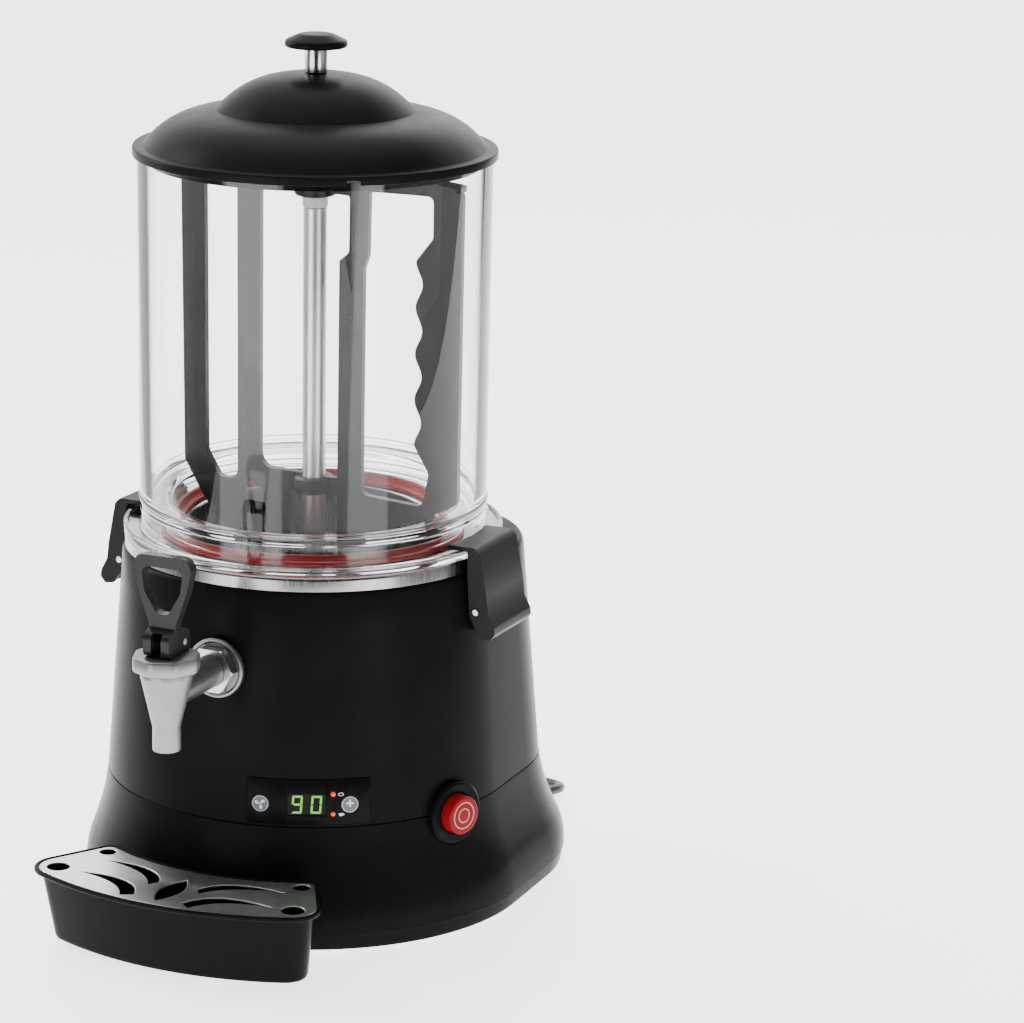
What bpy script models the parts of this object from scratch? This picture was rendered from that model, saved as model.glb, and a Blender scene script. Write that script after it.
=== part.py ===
"""Hot chocolate dispenser: clear bowl on a black heated base, with a tap and a drip tray.

Metres, +Z up. The front, with the tap and the tray, faces -Y. The bowl's axis is vertical
and stands at x = 0, y = AXIS_Y. The machine stands on z = 0.
"""
import math

import bmesh
import bpy
from mathutils import Matrix, Vector

# Clearances
SEAT_GAP = 0.0003          # pieces that rest on each other
RUN_GAP = 0.0003           # pins, shafts and buttons in their holes
CUT_OVERRUN = 0.002        # how far a cutter runs past the wall it cuts
WELD_DISTANCE = 0.000002   # points closer than this after a cut are one point
MM_PER_METRE = 1000.0

# Facets
ROUND_STEPS = 36           # large turned pieces
SMALL_STEPS = 16           # pins, screws, nuts
TUBE_STEPS = 12            # moulded tubes and the strain relief
FINE_STEPS = 20            # knob, tap body, switch
REAR_ARC_STEPS = 4         # each rear corner of the housing
FRONT_ARC_STEPS = 22       # the round front of the housing
CORNER_STEPS = 3           # small rounded corners
EDGE_STEPS = 2             # the smallest rounded corners
TRAY_ARC_STEPS = 12        # the curved sides of the tray
SLOT_STEPS = 5             # each curved side of a grate slot
SHARP_ANGLE = math.radians(35.0)

# Bowl: its radius drives every piece that stands round it
BOWL_RADIUS = 0.1175
BOWL_TAPER = 0.0011
BOWL_WALL = 0.0035
BOWL_TOP_Z = 0.5057
BOWL_FOOT_RADIUS = BOWL_RADIUS - BOWL_TAPER
BOWL_FLANGE_WIDTH = 0.0112
BOWL_FLANGE_RADIUS = BOWL_FOOT_RADIUS + BOWL_FLANGE_WIDTH
BOWL_FLANGE_WALL = 0.0032
BOWL_FLANGE_LIP_WIDTH = 0.003
BOWL_FLANGE_LIP_HEIGHT = 0.003
BOWL_BEAD_Z = 0.2725
BOWL_BEAD_HEIGHT = 0.0036
BOWL_BEAD_DEPTH = 0.001
BOWL_LEDGE_TOP_Z = 0.270
BOWL_LEDGE_WALL = 0.004
BOWL_LEDGE_WIDTH = 0.0196
BOWL_THROAT_RADIUS = BOWL_FOOT_RADIUS - BOWL_LEDGE_WIDTH

# Seal, under the bowl's throat
SEAL_OVERHANG = 0.0088
SEAL_WIDTH = 0.013
SEAL_HEIGHT = 0.0032
SEAL_INNER_RADIUS = BOWL_THROAT_RADIUS - SEAL_OVERHANG
SEAL_OUTER_RADIUS = SEAL_INNER_RADIUS + SEAL_WIDTH

# Pan, pressed from sheet, under the bowl's flange
PAN_WALL = 0.0015
PAN_FLOOR_Z = 0.208
PAN_SEAL_MARGIN = 0.002
PAN_RADIUS = SEAL_INNER_RADIUS - PAN_SEAL_MARGIN
PAN_CORNER = 0.007
PAN_TOP_Z = 0.2485
PAN_RIM_STEP = 0.0009
PAN_RIM_RADIUS = BOWL_FLANGE_RADIUS - PAN_RIM_STEP
PAN_RIM_CORNER = 0.002
OUTLET_INSET = 0.018
OUTLET_Y = OUTLET_INSET - PAN_RADIUS
OUTLET_RADIUS = 0.007

# Housing: the plan is the hull of a round front and two smaller rear corners
SIDE_TAPER = math.radians(2.0)
SKIRT_BOTTOM_Z = 0.003
SEAM_Z = 0.083
HOUSING_TOP_Z = 0.239
HOUSING_TOP_MARGIN = 0.0015
TOP_RADIUS = PAN_RIM_RADIUS + HOUSING_TOP_MARGIN
TOP_CORNER_X = 0.028
TOP_CORNER_Y = 0.043
UPPER_FLARE = 0.0108
SEAM_RADIUS = TOP_RADIUS + UPPER_FLARE
SEAM_CORNER_X = 0.031
SEAM_CORNER_Y = 0.051
SKIRT_FLARE = 0.0165
BASE_RADIUS = SEAM_RADIUS + SKIRT_FLARE
BASE_CORNER_X = 0.036
BASE_CORNER_Y = 0.062
HOUSING_WALL = 0.003
HOUSING_TOP_FILLET = 0.004
HOUSING_MOUTH_MARGIN = 0.022
HOUSING_MOUTH_RADIUS = PAN_RADIUS + HOUSING_MOUTH_MARGIN
SEAM_LIP_HEIGHT = 0.004
SEAM_LIP_WALL = 0.0012
# Share of the skirt's depth below the seam, and share of the whole flare reached there
FLARE_SHARES = ((0.0, 0.0), (0.17, 0.14), (0.34, 0.34), (0.49, 0.58), (0.63, 0.84),
                (0.74, 0.97), (0.84, 1.0), (1.0, 0.98))

# Base plate and feet
BASE_PLATE_WALL = 0.002
BASE_PLATE_Z = 0.0055
FOOT_RADIUS = 0.012
FOOT_TOP_RADIUS = 0.0135
FOOT_SIDE_INSET = 0.0705
FOOT_REAR_INSET = 0.0375
FOOT_X = BASE_RADIUS - FOOT_SIDE_INSET
FOOT_FRONT_Y = -FOOT_X
FOOT_REAR_Y = BASE_RADIUS - FOOT_REAR_INSET

# Column, shaft and drive
SHAFT_RADIUS = 0.004
COLUMN_RADIUS = 0.008
COLUMN_BORE_RADIUS = 0.0055
COLUMN_FOOT_RADIUS = 0.012
COLUMN_FOOT_HEIGHT = 0.002
COLUMN_TOP_Z = 0.463
BUSH_RADIUS = 0.0086
BUSH_HEIGHT = 0.007
COUPLING_RADIUS = 0.007
COUPLING_HEIGHT = 0.013
GEARBOX_HALF_X = 0.034
GEARBOX_HALF_Y = 0.028
GEARBOX_CORNER = 0.006
GEARBOX_HEIGHT = 0.034
GEARBOX_BOSS_RADIUS = 0.009
GEARBOX_BOSS_HEIGHT = 0.007
MOTOR_RADIUS = 0.027
MOTOR_LENGTH = 0.059
BRACKET_TOP_Z = 0.121
BRACKET_WALL = 0.0025
BRACKET_HALF_WIDTH = 0.0425
BRACKET_FOOT_LENGTH = 0.0145
BRACKET_HALF_DEPTH = 0.030
HEATER_RADIUS = PAN_RADIUS / 2
HEATER_TUBE_RADIUS = 0.004
THERMOSTAT_RADIUS = 0.008
THERMOSTAT_HEIGHT = 0.010
THERMOSTAT_INSET = 0.020
THERMOSTAT_X = PAN_RADIUS - THERMOSTAT_INSET

# Agitator: a flat frame in the X-Z plane, with a hub, a flange along its top and a collar
AGITATOR_WALL = 0.005
AGITATOR_TOP_Z = 0.488
AGITATOR_LEFT_CLEARANCE = 0.0138
AGITATOR_RIGHT_CLEARANCE = 0.0095
AGITATOR_LEFT_X = AGITATOR_LEFT_CLEARANCE - BOWL_RADIUS
AGITATOR_RIGHT_X = BOWL_RADIUS - AGITATOR_RIGHT_CLEARANCE
FOOT_SCRAPER_Z = 0.212
HUB_RADIUS = 0.014
HUB_CAP_RADIUS = 0.0165
HUB_BOTTOM_Z = 0.471
HUB_CAP_Z = 0.491
HUB_TOP_Z = 0.498
TOP_FLANGE_HALF_WIDTH = 0.0073
TOP_FLANGE_WALL = 0.0035
COLLAR_RADIUS = 0.0135
COLLAR_HEIGHT = 0.010
COLLAR_TOP_Z = 0.2795
COLLAR_CLEARANCE = 0.001
SCALLOP_COUNT = 5
SCALLOP_STEPS = 6

# Lid and knob
LID_OVERHANG = 0.0031
LID_RADIUS = BOWL_RADIUS + LID_OVERHANG
LID_LIP_WALL = 0.0024
LID_LIP_DEPTH = 0.006
LID_FLANGE_TOP_Z = 0.509
LID_EDGE_WIDTH = 0.0066
LID_DOME_EDGE_RADIUS = LID_RADIUS - LID_EDGE_WIDTH
LID_CREASE_INSET = 0.048
LID_CREASE_RADIUS = LID_DOME_EDGE_RADIUS - LID_CREASE_INSET
LID_CREASE_Z = 0.533
LID_TOP_Z = 0.557
LID_WALL = 0.0025
LID_SKIRT_INSET = 0.006
LID_SKIRT_RADIUS = BOWL_RADIUS - LID_SKIRT_INSET
LID_SKIRT_DEPTH = 0.008
LID_NOTCH_WIDTH = 0.009
LID_NOTCH_HEIGHT = 0.004
LID_NOTCH_ANGLE = math.radians(39.3)
DOME_OUTER_SHARES = (0.3, 0.55, 0.8, 1.0)
DOME_INNER_SHARES = (0.6, 0.3)
KNOB_STEM_RADIUS = 0.0075
KNOB_STEM_HEIGHT = 0.0165
KNOB_RADIUS = 0.0206
KNOB_HEIGHT = 0.009
KNOB_DIMPLE_RADIUS = 0.013
KNOB_DIMPLE_DEPTH = 0.0012
SCREW_RADIUS = 0.002
SCREW_HEAD_RADIUS = 0.005
SCREW_HEAD_HEIGHT = 0.003
SCREW_LENGTH = 0.024

# Latches at the two sides
LATCH_HALF_WIDTH = 0.029
LATCH_WALL = 0.003
LATCH_HOOK_MARGIN = 0.0016
LATCH_HOOK_RADIUS = BOWL_FOOT_RADIUS + LATCH_HOOK_MARGIN
LATCH_PIN_REACH = 0.0068
LATCH_PIN_X = TOP_RADIUS + LATCH_PIN_REACH
LATCH_PIN_Z = 0.2147
LATCH_PIN_RADIUS = 0.0025
LATCH_PIN_OVERHANG = 0.0004
LATCH_BOSS_RADIUS = 0.0046
LATCH_BRACKET_INSET = 0.002
LATCH_BRACKET_FRONT_X = LATCH_PIN_X - LATCH_BRACKET_INSET
LATCH_BRACKET_HALF_WIDTH = 0.022
LATCH_BRACKET_LOW_Z = 0.2005
LATCH_BRACKET_HIGH_Z = 0.228

# Tap, on the axis x = 0, y = TAP_Y
TAP_REACH = 0.0605
TAP_Y = -SEAM_RADIUS - TAP_REACH
TAP_INLET_Z = 0.186
TAP_FLANGE_RADIUS = 0.020
TAP_FLANGE_WALL = 0.0035
TAP_HEX_RADIUS = 0.0165
TAP_HEX_WALL = 0.008
TAP_BARREL_RADIUS = 0.0105
TAP_TAIL_DEPTH = 0.027
TAP_TAIL_Y = TAP_TAIL_DEPTH - SEAM_RADIUS
TAP_LOCK_NUT_WALL = 0.006
TAP_CONE_TOP_RADIUS = 0.0168
TAP_CONE_TOP_Z = 0.202
TAP_CONE_BOTTOM_RADIUS = 0.0093
TAP_CONE_BOTTOM_Z = 0.1655
TAP_SPOUT_RADIUS = 0.0091
TAP_SPOUT_Z = 0.149
TAP_CHAMBER_RADIUS = 0.008
TAP_SEAT_Z = 0.176
TAP_SEAT_RADIUS = 0.005
TAP_SEAT_HEIGHT = 0.004
TAP_SPOUT_BORE_RADIUS = 0.0065
TAP_INLET_BORE_RADIUS = 0.006
BONNET_RADIUS = 0.0225
BONNET_TOP_Z = 0.213
BONNET_SIDE_COUNT = 8
BONNET_CHAMFER = 0.0015
STEM_RADIUS = 0.0032
STEM_COLLAR_RADIUS = 0.0055
STEM_COLLAR_HEIGHT = 0.002
STEM_COLLAR_LIFT = 0.003
STEM_TONGUE_GAP = 0.0015
SEAT_CUP_RADIUS = 0.0066
SEAT_CUP_HEIGHT = 0.0047
TONGUE_HALF_WALL = 0.003
TONGUE_EYE_RADIUS = 0.0052
TONGUE_EYE_SWEEP = math.radians(126.0)
TAP_PIN_RADIUS = 0.0023
TAP_PIN_BACK = 0.0075
TAP_PIN_RISE = 0.0073
TAP_PIN_OVERHANG = 0.0004
FORK_HALF_WIDTH = 0.0094
FORK_HALF_DEPTH = 0.0136
FORK_HEIGHT = 0.018
FORK_HEEL_ROUND = 0.004
FORK_ROOF = 0.0025
LOOP_HALF_WIDTH = 0.0213
LOOP_TOP_Z = 0.278
LOOP_FRONT_Y = -0.0054
LOOP_BACK_Y = 0.0022
SPRING_WIRE_RADIUS = 0.0007
SPRING_RADIUS = 0.0052
SPRING_TURN_COUNT = 5
SPRING_TURN_STEPS = 8
ELBOW_RADIUS = 0.009
ELBOW_BORE_RADIUS = 0.006
ELBOW_BEND = 0.014

# Drip tray and grate: a ring sector round the bowl's axis
TRAY_CLEARANCE = 0.0008
TRAY_DEPTH = 0.0697
TRAY_INNER_RADIUS = BASE_RADIUS + TRAY_CLEARANCE
TRAY_OUTER_RADIUS = TRAY_INNER_RADIUS + TRAY_DEPTH
TRAY_HALF_ANGLE = math.radians(29.5)
TRAY_OUTER_CORNER = 0.020
TRAY_INNER_CORNER = 0.009
TRAY_RIM_Z = 0.053
TRAY_RIM_WIDTH = 0.003
TRAY_RIM_HEIGHT = 0.003
TRAY_RIM_OVERHANG = 0.005
TRAY_FLOOR_Z = 0.0005
TRAY_FOOT_TAPER = 0.012
TRAY_WALL = 0.002
TRAY_TONGUE_HALF_WIDTH = 0.030
TRAY_TONGUE_WALL = 0.002
TRAY_TONGUE_LENGTH = 0.030
GRATE_WALL = 0.0015
GRATE_RECESS = 0.0005

# Control panel, on the front right of the upper housing
PANEL_ANGLE = math.radians(26.7)
PANEL_HALF_WIDTH = 0.0404
PANEL_LOW_Z = 0.085
PANEL_HIGH_Z = 0.1155
PANEL_WALL = 0.0017
PANEL_PROUD = 0.0004
PANEL_STEPS = 8
KEY_MIDDLE_ARC = -0.0023
KEY_ARC = 0.0292
KEY_Z = 0.0985
KEY_RADIUS = 0.0058
KEY_PROUD = 0.0010
KEY_LENGTH = 0.0019
DISPLAY_ARC = -0.0013
DISPLAY_HALF_WIDTH = 0.0125
DISPLAY_HALF_HEIGHT = 0.0073
LED_ARC = 0.0161
LED_RADIUS = 0.0016
LED_SPACING = 0.0135
BOARD_HALF_WIDTH = 0.038
BOARD_HALF_HEIGHT = 0.014
BOARD_WALL = 0.0016

# Switch, at the right side on the seam
SWITCH_ANGLE = math.radians(69.5)
SWITCH_Z = 0.082
BEZEL_RADIUS = 0.0215
BEZEL_WALL = 0.0045
BEZEL_LIP = 0.0015
BEZEL_BARREL_RADIUS = 0.0175
BEZEL_DEPTH = 0.014
BUTTON_RADIUS = 0.0130
BUTTON_PROUD = 0.0065
BUTTON_RING_DEPTH = 0.0005
BUTTON_RING_WIDTH = 0.0012
BUTTON_RING_SHARES = (0.36, 0.68)
SWITCH_TRAVEL = 0.003

# Cord
CORD_RADIUS = 0.0035
CORD_BEVEL_STEPS = 2
GLAND_ANGLE = math.radians(70.0)
GLAND_Z = 0.012
GLAND_ROOT_RADIUS = 0.0075
GLAND_TIP_RADIUS = 0.0050
GLAND_LENGTH = 0.030
GLAND_FLANGE_RADIUS = 0.0085
GLAND_FLANGE_WALL = 0.002
GLAND_GROOVE_COUNT = 3
GLAND_GROOVE_DEPTH = 0.0008
GLAND_GROOVE_SHARES = ((0.0, 0.0), (0.55, 0.0), (0.6, 1.0), (0.95, 1.0))
COIL_CENTRE_X = -0.035
COIL_REAR_DISTANCE = 0.0656
COIL_OUTER_RADIUS = 0.0515
COIL_INNER_RADIUS = 0.029
COIL_TURN_COUNT = 5.25
COIL_REVERSE_TURN = 2.5
COIL_CLIMB_TURNS = 0.5
COIL_LAYER_STEP = 0.0078
COIL_TURN_STEPS = 18
COIL_TAIL = 0.022
CORD_FLOOR_GAP = 0.0004
PLUG_RADIUS = 0.0185
PLUG_HEIGHT = 0.022
PLUG_EDGE = 0.002
PLUG_NECK_LENGTH = 0.014
PLUG_NECK_RADIUS = 0.0058
PLUG_PIN_RADIUS = 0.0024
PLUG_PIN_LENGTH = 0.019
PLUG_PIN_SPACING = 0.019

# The cord's free stretch from the gland to the coil, drawn from the bowl's axis. Its ends follow both.
CORD_ROUTE = (
    (0.0864, 0.2005, 0.0120), (0.0878, 0.2043, 0.0120), (0.0895, 0.2123, 0.0112),
    (0.0889, 0.2205, 0.0096), (0.0861, 0.2282, 0.0078), (0.0813, 0.2348, 0.0061),
    (0.0748, 0.2399, 0.0048), (0.0672, 0.2430, 0.0041), (0.0590, 0.2438, 0.0039),
    (0.0509, 0.2424, 0.0039), (0.0436, 0.2388, 0.0039), (0.0374, 0.2333, 0.0039),
    (0.0270, 0.2209, 0.0039), (0.0160, 0.2078, 0.0039), (0.0072, 0.1999, 0.0039),
    (-0.0029, 0.1952, 0.0039), (-0.0146, 0.1935, 0.0039), (-0.0210, 0.1935, 0.0039),
    (-0.0277, 0.1935, 0.0039))
CORD_ROUTE_POINTS = 26


# Plain geometry

def polar(radius, angle):
    """A point at a distance from the bowl's axis, its angle turned from -Y towards +X."""
    return (radius * math.sin(angle), -radius * math.cos(angle))


def arc_points(centre, radius, start, end, steps):
    """Points on an arc, both ends included."""
    points = []
    for index in range(steps + 1):
        angle = start + (end - start) * index / steps
        points.append((centre[0] + radius * math.cos(angle), centre[1] + radius * math.sin(angle)))
    return points


def circle_points(centre, radius, steps):
    """Points round a whole circle."""
    return arc_points(centre, radius, 0.0, math.tau * (steps - 1) / steps, steps - 1)


def rounded_outline(corners, steps=EDGE_STEPS):
    """A closed outline from corners (x, y, radius), each one rounded to its radius."""
    points = []
    count = len(corners)
    for index, (x, y, radius) in enumerate(corners):
        corner = Vector((x, y))
        if radius == 0.0:
            points.append((x, y))
            continue
        back = Vector(corners[index - 1][:2]) - corner
        ahead = Vector(corners[(index + 1) % count][:2]) - corner
        turn = back.angle(ahead)
        reach = radius / math.tan(turn / 2)
        centre = corner + (back.normalized() + ahead.normalized()).normalized() * (
            radius / math.sin(turn / 2))
        first = corner + back.normalized() * reach - centre
        last = corner + ahead.normalized() * reach - centre
        start = math.atan2(first.y, first.x)
        sweep = math.atan2(first.x * last.y - first.y * last.x, first.dot(last))
        points += arc_points(centre, radius, start, start + sweep, steps)
    return points


def bezier_points(start, control, end, steps):
    """Points on a quadratic curve, the last one left out."""
    points = []
    for index in range(steps):
        share = index / steps
        a = (1 - share) ** 2
        b = 2 * share * (1 - share)
        c = share ** 2
        points.append((a * start[0] + b * control[0] + c * end[0],
                       a * start[1] + b * control[1] + c * end[1]))
    return points


def smooth_route(points, count):
    """Evenly spaced points on a smooth curve through the route's own points."""
    dense = []
    for index in range(len(points) - 1):
        p0 = Vector(points[max(index - 1, 0)])
        p1 = Vector(points[index])
        p2 = Vector(points[index + 1])
        p3 = Vector(points[min(index + 2, len(points) - 1)])
        for step in range(COIL_TURN_STEPS):
            t = step / COIL_TURN_STEPS
            dense.append(0.5 * (2 * p1 + (p2 - p0) * t + (2 * p0 - 5 * p1 + 4 * p2 - p3) * t ** 2
                                + (3 * p1 - p0 - 3 * p2 + p3) * t ** 3))
    dense.append(Vector(points[-1]))
    lengths = [0.0]
    for before, after in zip(dense, dense[1:]):
        lengths.append(lengths[-1] + (after - before).length)
    route = []
    place = 0
    for index in range(count):
        target = lengths[-1] * index / (count - 1)
        while place < len(lengths) - 2 and lengths[place + 1] < target:
            place += 1
        share = (target - lengths[place]) / (lengths[place + 1] - lengths[place])
        route.append(dense[place].lerp(dense[place + 1], share))
    return route


# Solids

def mesh_from(bm, name):
    """A mesh with outward faces from a bmesh."""
    bmesh.ops.recalc_face_normals(bm, faces=bm.faces)
    mesh = bpy.data.meshes.new(name)
    bm.to_mesh(mesh)
    bm.free()
    return mesh


def turned(profile, steps=ROUND_STEPS):
    """A solid turned round Z from a closed profile of (radius, z)."""
    bm = bmesh.new()
    rings = []
    for radius, z in profile:
        if radius == 0.0:
            rings.append([bm.verts.new((0.0, 0.0, z))] * steps)
            continue
        ring = []
        for index in range(steps):
            angle = math.tau * index / steps
            ring.append(bm.verts.new((radius * math.cos(angle), radius * math.sin(angle), z)))
        rings.append(ring)
    for index, ring in enumerate(rings):
        following = rings[(index + 1) % len(rings)]
        for side in range(steps):
            corners = [ring[side], ring[(side + 1) % steps],
                       following[(side + 1) % steps], following[side]]
            unique = list(dict.fromkeys(corners))
            if len(unique) > 2:
                bm.faces.new(unique)
    return mesh_from(bm, "turned")


def lofted(rings, looped=False):
    """A solid through rings of equal counts: capped at both ends, or closed into a shell."""
    bm = bmesh.new()
    loops = []
    for ring in rings:
        loops.append([bm.verts.new(point) for point in ring])
    pairs = list(zip(loops, loops[1:]))
    if looped:
        pairs.append((loops[-1], loops[0]))
    else:
        bm.faces.new(loops[0])
        bm.faces.new(loops[-1])
    for ring, following in pairs:
        for side in range(len(ring)):
            ahead = (side + 1) % len(ring)
            bm.faces.new((ring[side], ring[ahead], following[ahead], following[side]))
    return mesh_from(bm, "lofted")


def plate(outlines, low, high, plane="XY"):
    """A flat plate from a closed outline and its holes, between two levels of its normal."""
    bm = bmesh.new()
    edges = []
    for outline in outlines:
        verts = [bm.verts.new((x, y, low)) for x, y in outline]
        for index in range(len(verts)):
            edges.append(bm.edges.new((verts[index], verts[(index + 1) % len(verts)])))
    bmesh.ops.triangle_fill(bm, edges=edges, use_beauty=True)
    grown = bmesh.ops.extrude_face_region(bm, geom=bm.faces[:])
    moved = [item for item in grown["geom"] if isinstance(item, bmesh.types.BMVert)]
    bmesh.ops.translate(bm, verts=moved, vec=(0.0, 0.0, high - low))
    if plane == "XZ":
        bmesh.ops.transform(bm, verts=bm.verts, matrix=Matrix(((1, 0, 0, 0), (0, 0, 1, 0),
                                                               (0, 1, 0, 0), (0, 0, 0, 1))))
    if plane == "YZ":
        bmesh.ops.transform(bm, verts=bm.verts, matrix=Matrix(((0, 0, 1, 0), (1, 0, 0, 0),
                                                               (0, 1, 0, 0), (0, 0, 0, 1))))
    return mesh_from(bm, "plate")


def block(low, high):
    """A box between two corners."""
    outline = [(low[0], low[1]), (high[0], low[1]), (high[0], high[1]), (low[0], high[1])]
    return plate([outline], low[2], high[2])


def moved(mesh, matrix):
    """The same mesh, transformed."""
    mesh.transform(matrix)
    return mesh


def rod(radius, start, end, steps=SMALL_STEPS):
    """A round bar between two points."""
    start = Vector(start)
    end = Vector(end)
    length = (end - start).length
    mesh = turned([(0.0, 0.0), (radius, 0.0), (radius, length), (0.0, length)], steps)
    turn = (end - start).to_track_quat("Z", "Y").to_matrix().to_4x4()
    return moved(mesh, Matrix.Translation(start) @ turn)


def facing(angle, z):
    """The frame of a piece on the side of the housing: its +Z points out at the angle."""
    out = Vector((math.sin(angle), -math.cos(angle), 0.0))
    side = Vector((math.cos(angle), math.sin(angle), 0.0))
    turn = Matrix((side, Vector((0.0, 0.0, 1.0)), out)).transposed().to_4x4()
    return Matrix.Translation((0.0, 0.0, z)) @ turn


def boolean(base, other, operation):
    """The base mesh joined with, or cut by, another mesh."""
    target = bpy.data.objects.new("boolean_base", base)
    tool = bpy.data.objects.new("boolean_tool", other)
    for item in (target, tool):
        bpy.context.scene.collection.objects.link(item)
    modifier = target.modifiers.new("boolean", "BOOLEAN")
    modifier.operation = operation
    modifier.solver = "EXACT"
    modifier.object = tool
    bpy.context.view_layer.update()
    evaluated = target.evaluated_get(bpy.context.evaluated_depsgraph_get())
    result = bpy.data.meshes.new_from_object(evaluated)
    for item in (target, tool):
        bpy.data.objects.remove(item)
    bm = bmesh.new()
    bm.from_mesh(result)
    bmesh.ops.remove_doubles(bm, verts=bm.verts, dist=WELD_DISTANCE)
    bmesh.ops.dissolve_degenerate(bm, edges=bm.edges, dist=WELD_DISTANCE)
    bm.to_mesh(result)
    bm.free()
    return result


def joined(base, *others):
    """Meshes joined into one solid."""
    for other in others:
        base = boolean(base, other, "UNION")
    return base


def cut(base, *others):
    """A mesh with other meshes taken out of it."""
    for other in others:
        base = boolean(base, other, "DIFFERENCE")
    return base


def tube_mesh(points, radius, level):
    """A round tube with filled ends along points, from a bevelled curve."""
    curve = bpy.data.curves.new("tube", "CURVE")
    curve.dimensions = "3D"
    curve.bevel_depth = radius
    curve.bevel_resolution = level
    curve.use_fill_caps = True
    spline = curve.splines.new("POLY")
    spline.points.add(len(points) - 1)
    for place, point in zip(spline.points, points):
        place.co = (*point, 1.0)
    return curve


# Materials

def make_material(name, colour, roughness, metallic=0.0, transmission=0.0):
    """One Principled material."""
    material = bpy.data.materials.new(name)
    material.use_nodes = True
    shader = material.node_tree.nodes["Principled BSDF"]
    shader.inputs["Base Color"].default_value = (*colour, 1.0)
    shader.inputs["Roughness"].default_value = roughness
    shader.inputs["Metallic"].default_value = metallic
    shader.inputs["Transmission Weight"].default_value = transmission
    return material


FINISHES = {
    "black_plastic": ((0.012, 0.012, 0.013), 0.34, 0.0, 0.0),
    "soft_black": ((0.020, 0.020, 0.021), 0.48, 0.0, 0.0),
    "lid_plastic": ((0.030, 0.030, 0.032), 0.40, 0.0, 0.0),
    "agitator_plastic": ((0.045, 0.045, 0.047), 0.45, 0.0, 0.0),
    "clear_plastic": ((0.93, 0.95, 0.96), 0.04, 0.0, 0.9),
    "red_silicone": ((0.50, 0.015, 0.015), 0.45, 0.0, 0.0),
    "steel": ((0.62, 0.62, 0.61), 0.24, 1.0, 0.0),
    "brushed_steel": ((0.58, 0.58, 0.57), 0.36, 1.0, 0.0),
    "zinc_steel": ((0.45, 0.45, 0.44), 0.45, 1.0, 0.0),
    "grey_key": ((0.45, 0.46, 0.47), 0.40, 0.0, 0.0),
    "panel_film": ((0.006, 0.006, 0.007), 0.12, 0.0, 0.0),
    "green_display": ((0.05, 0.55, 0.10), 0.20, 0.0, 0.0),
    "red_lens": ((0.75, 0.02, 0.03), 0.15, 0.0, 0.3),
    "green_board": ((0.02, 0.15, 0.06), 0.50, 0.0, 0.0),
    "rubber": ((0.015, 0.015, 0.015), 0.75, 0.0, 0.0),
    "white_bush": ((0.75, 0.75, 0.72), 0.45, 0.0, 0.0),
    "cord_rubber": ((0.015, 0.015, 0.016), 0.55, 0.0, 0.0),
}


class Machine:
    """The scene's root empty and its sub-parts."""

    def __init__(self):
        for item in list(bpy.data.objects):
            bpy.data.objects.remove(item)
        self.materials = {}
        for name, (colour, roughness, metallic, transmission) in FINISHES.items():
            self.materials[name] = make_material(name, colour, roughness, metallic, transmission)
        self.root = bpy.data.objects.new("machine_axis", None)
        self.root.location = (0.0, AXIS_Y, 0.0)
        bpy.context.scene.collection.objects.link(self.root)

    def add(self, name, data, finish, origin=(0.0, 0.0, 0.0)):
        """Places a solid that was drawn round the bowl's axis, with its own origin."""
        data.name = name
        if isinstance(data, bpy.types.Mesh):
            data.transform(Matrix.Translation(-Vector(origin)))
            data.shade_smooth()
            data.set_sharp_from_angle(angle=SHARP_ANGLE)
        data.materials.clear()
        data.materials.append(self.materials[finish])
        piece = bpy.data.objects.new(name, data)
        piece.location = origin
        piece.parent = self.root
        bpy.context.scene.collection.objects.link(piece)
        return piece


# The housing's plan

def flare_share(z):
    """How much of the skirt's flare is reached at a height."""
    depth = (SEAM_Z - z) / (SEAM_Z - SKIRT_BOTTOM_Z)
    for (d0, f0), (d1, f1) in zip(FLARE_SHARES, FLARE_SHARES[1:]):
        if depth <= d1:
            return f0 + (f1 - f0) * (depth - d0) / (d1 - d0)
    return FLARE_SHARES[-1][1]


def station(z):
    """The plan's front radius and corner centre at a height."""
    seam = (SEAM_RADIUS, SEAM_CORNER_X, SEAM_CORNER_Y)
    if z >= SEAM_Z:
        other = (TOP_RADIUS, TOP_CORNER_X, TOP_CORNER_Y)
        share = (z - SEAM_Z) / (HOUSING_TOP_Z - SEAM_Z)
    else:
        other = (BASE_RADIUS, BASE_CORNER_X, BASE_CORNER_Y)
        share = flare_share(z)
    return [a + (b - a) * share for a, b in zip(seam, other)]


def corner_radius(radius, corner_x, corner_y):
    """The rear corner's radius that keeps the sides at their taper."""
    return radius - corner_x * math.cos(SIDE_TAPER) - corner_y * math.sin(SIDE_TAPER)


def side_reach(z, y):
    """The housing's half width at a height, near the middle of its side."""
    radius = station(z)[0]
    if y < radius * math.sin(SIDE_TAPER):
        return math.sqrt(radius ** 2 - y ** 2)
    return (radius - y * math.sin(SIDE_TAPER)) / math.cos(SIDE_TAPER)


def plan_ring(z, inset=0.0, level=None):
    """The housing's outline at a height, drawn in by an inset."""
    radius, corner_x, corner_y = station(z)
    rear = corner_radius(radius, corner_x, corner_y) - inset
    side = SIDE_TAPER
    points = arc_points((corner_x, corner_y), rear, side, math.pi / 2, REAR_ARC_STEPS)
    points += arc_points((-corner_x, corner_y), rear, math.pi / 2, math.pi - side, REAR_ARC_STEPS)
    front = arc_points((0.0, 0.0), radius - inset, math.pi - side, math.tau + side, FRONT_ARC_STEPS)
    points += front[1:-1]
    height = z if level is None else level
    return [(x, y, height) for x, y in points]


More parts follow.
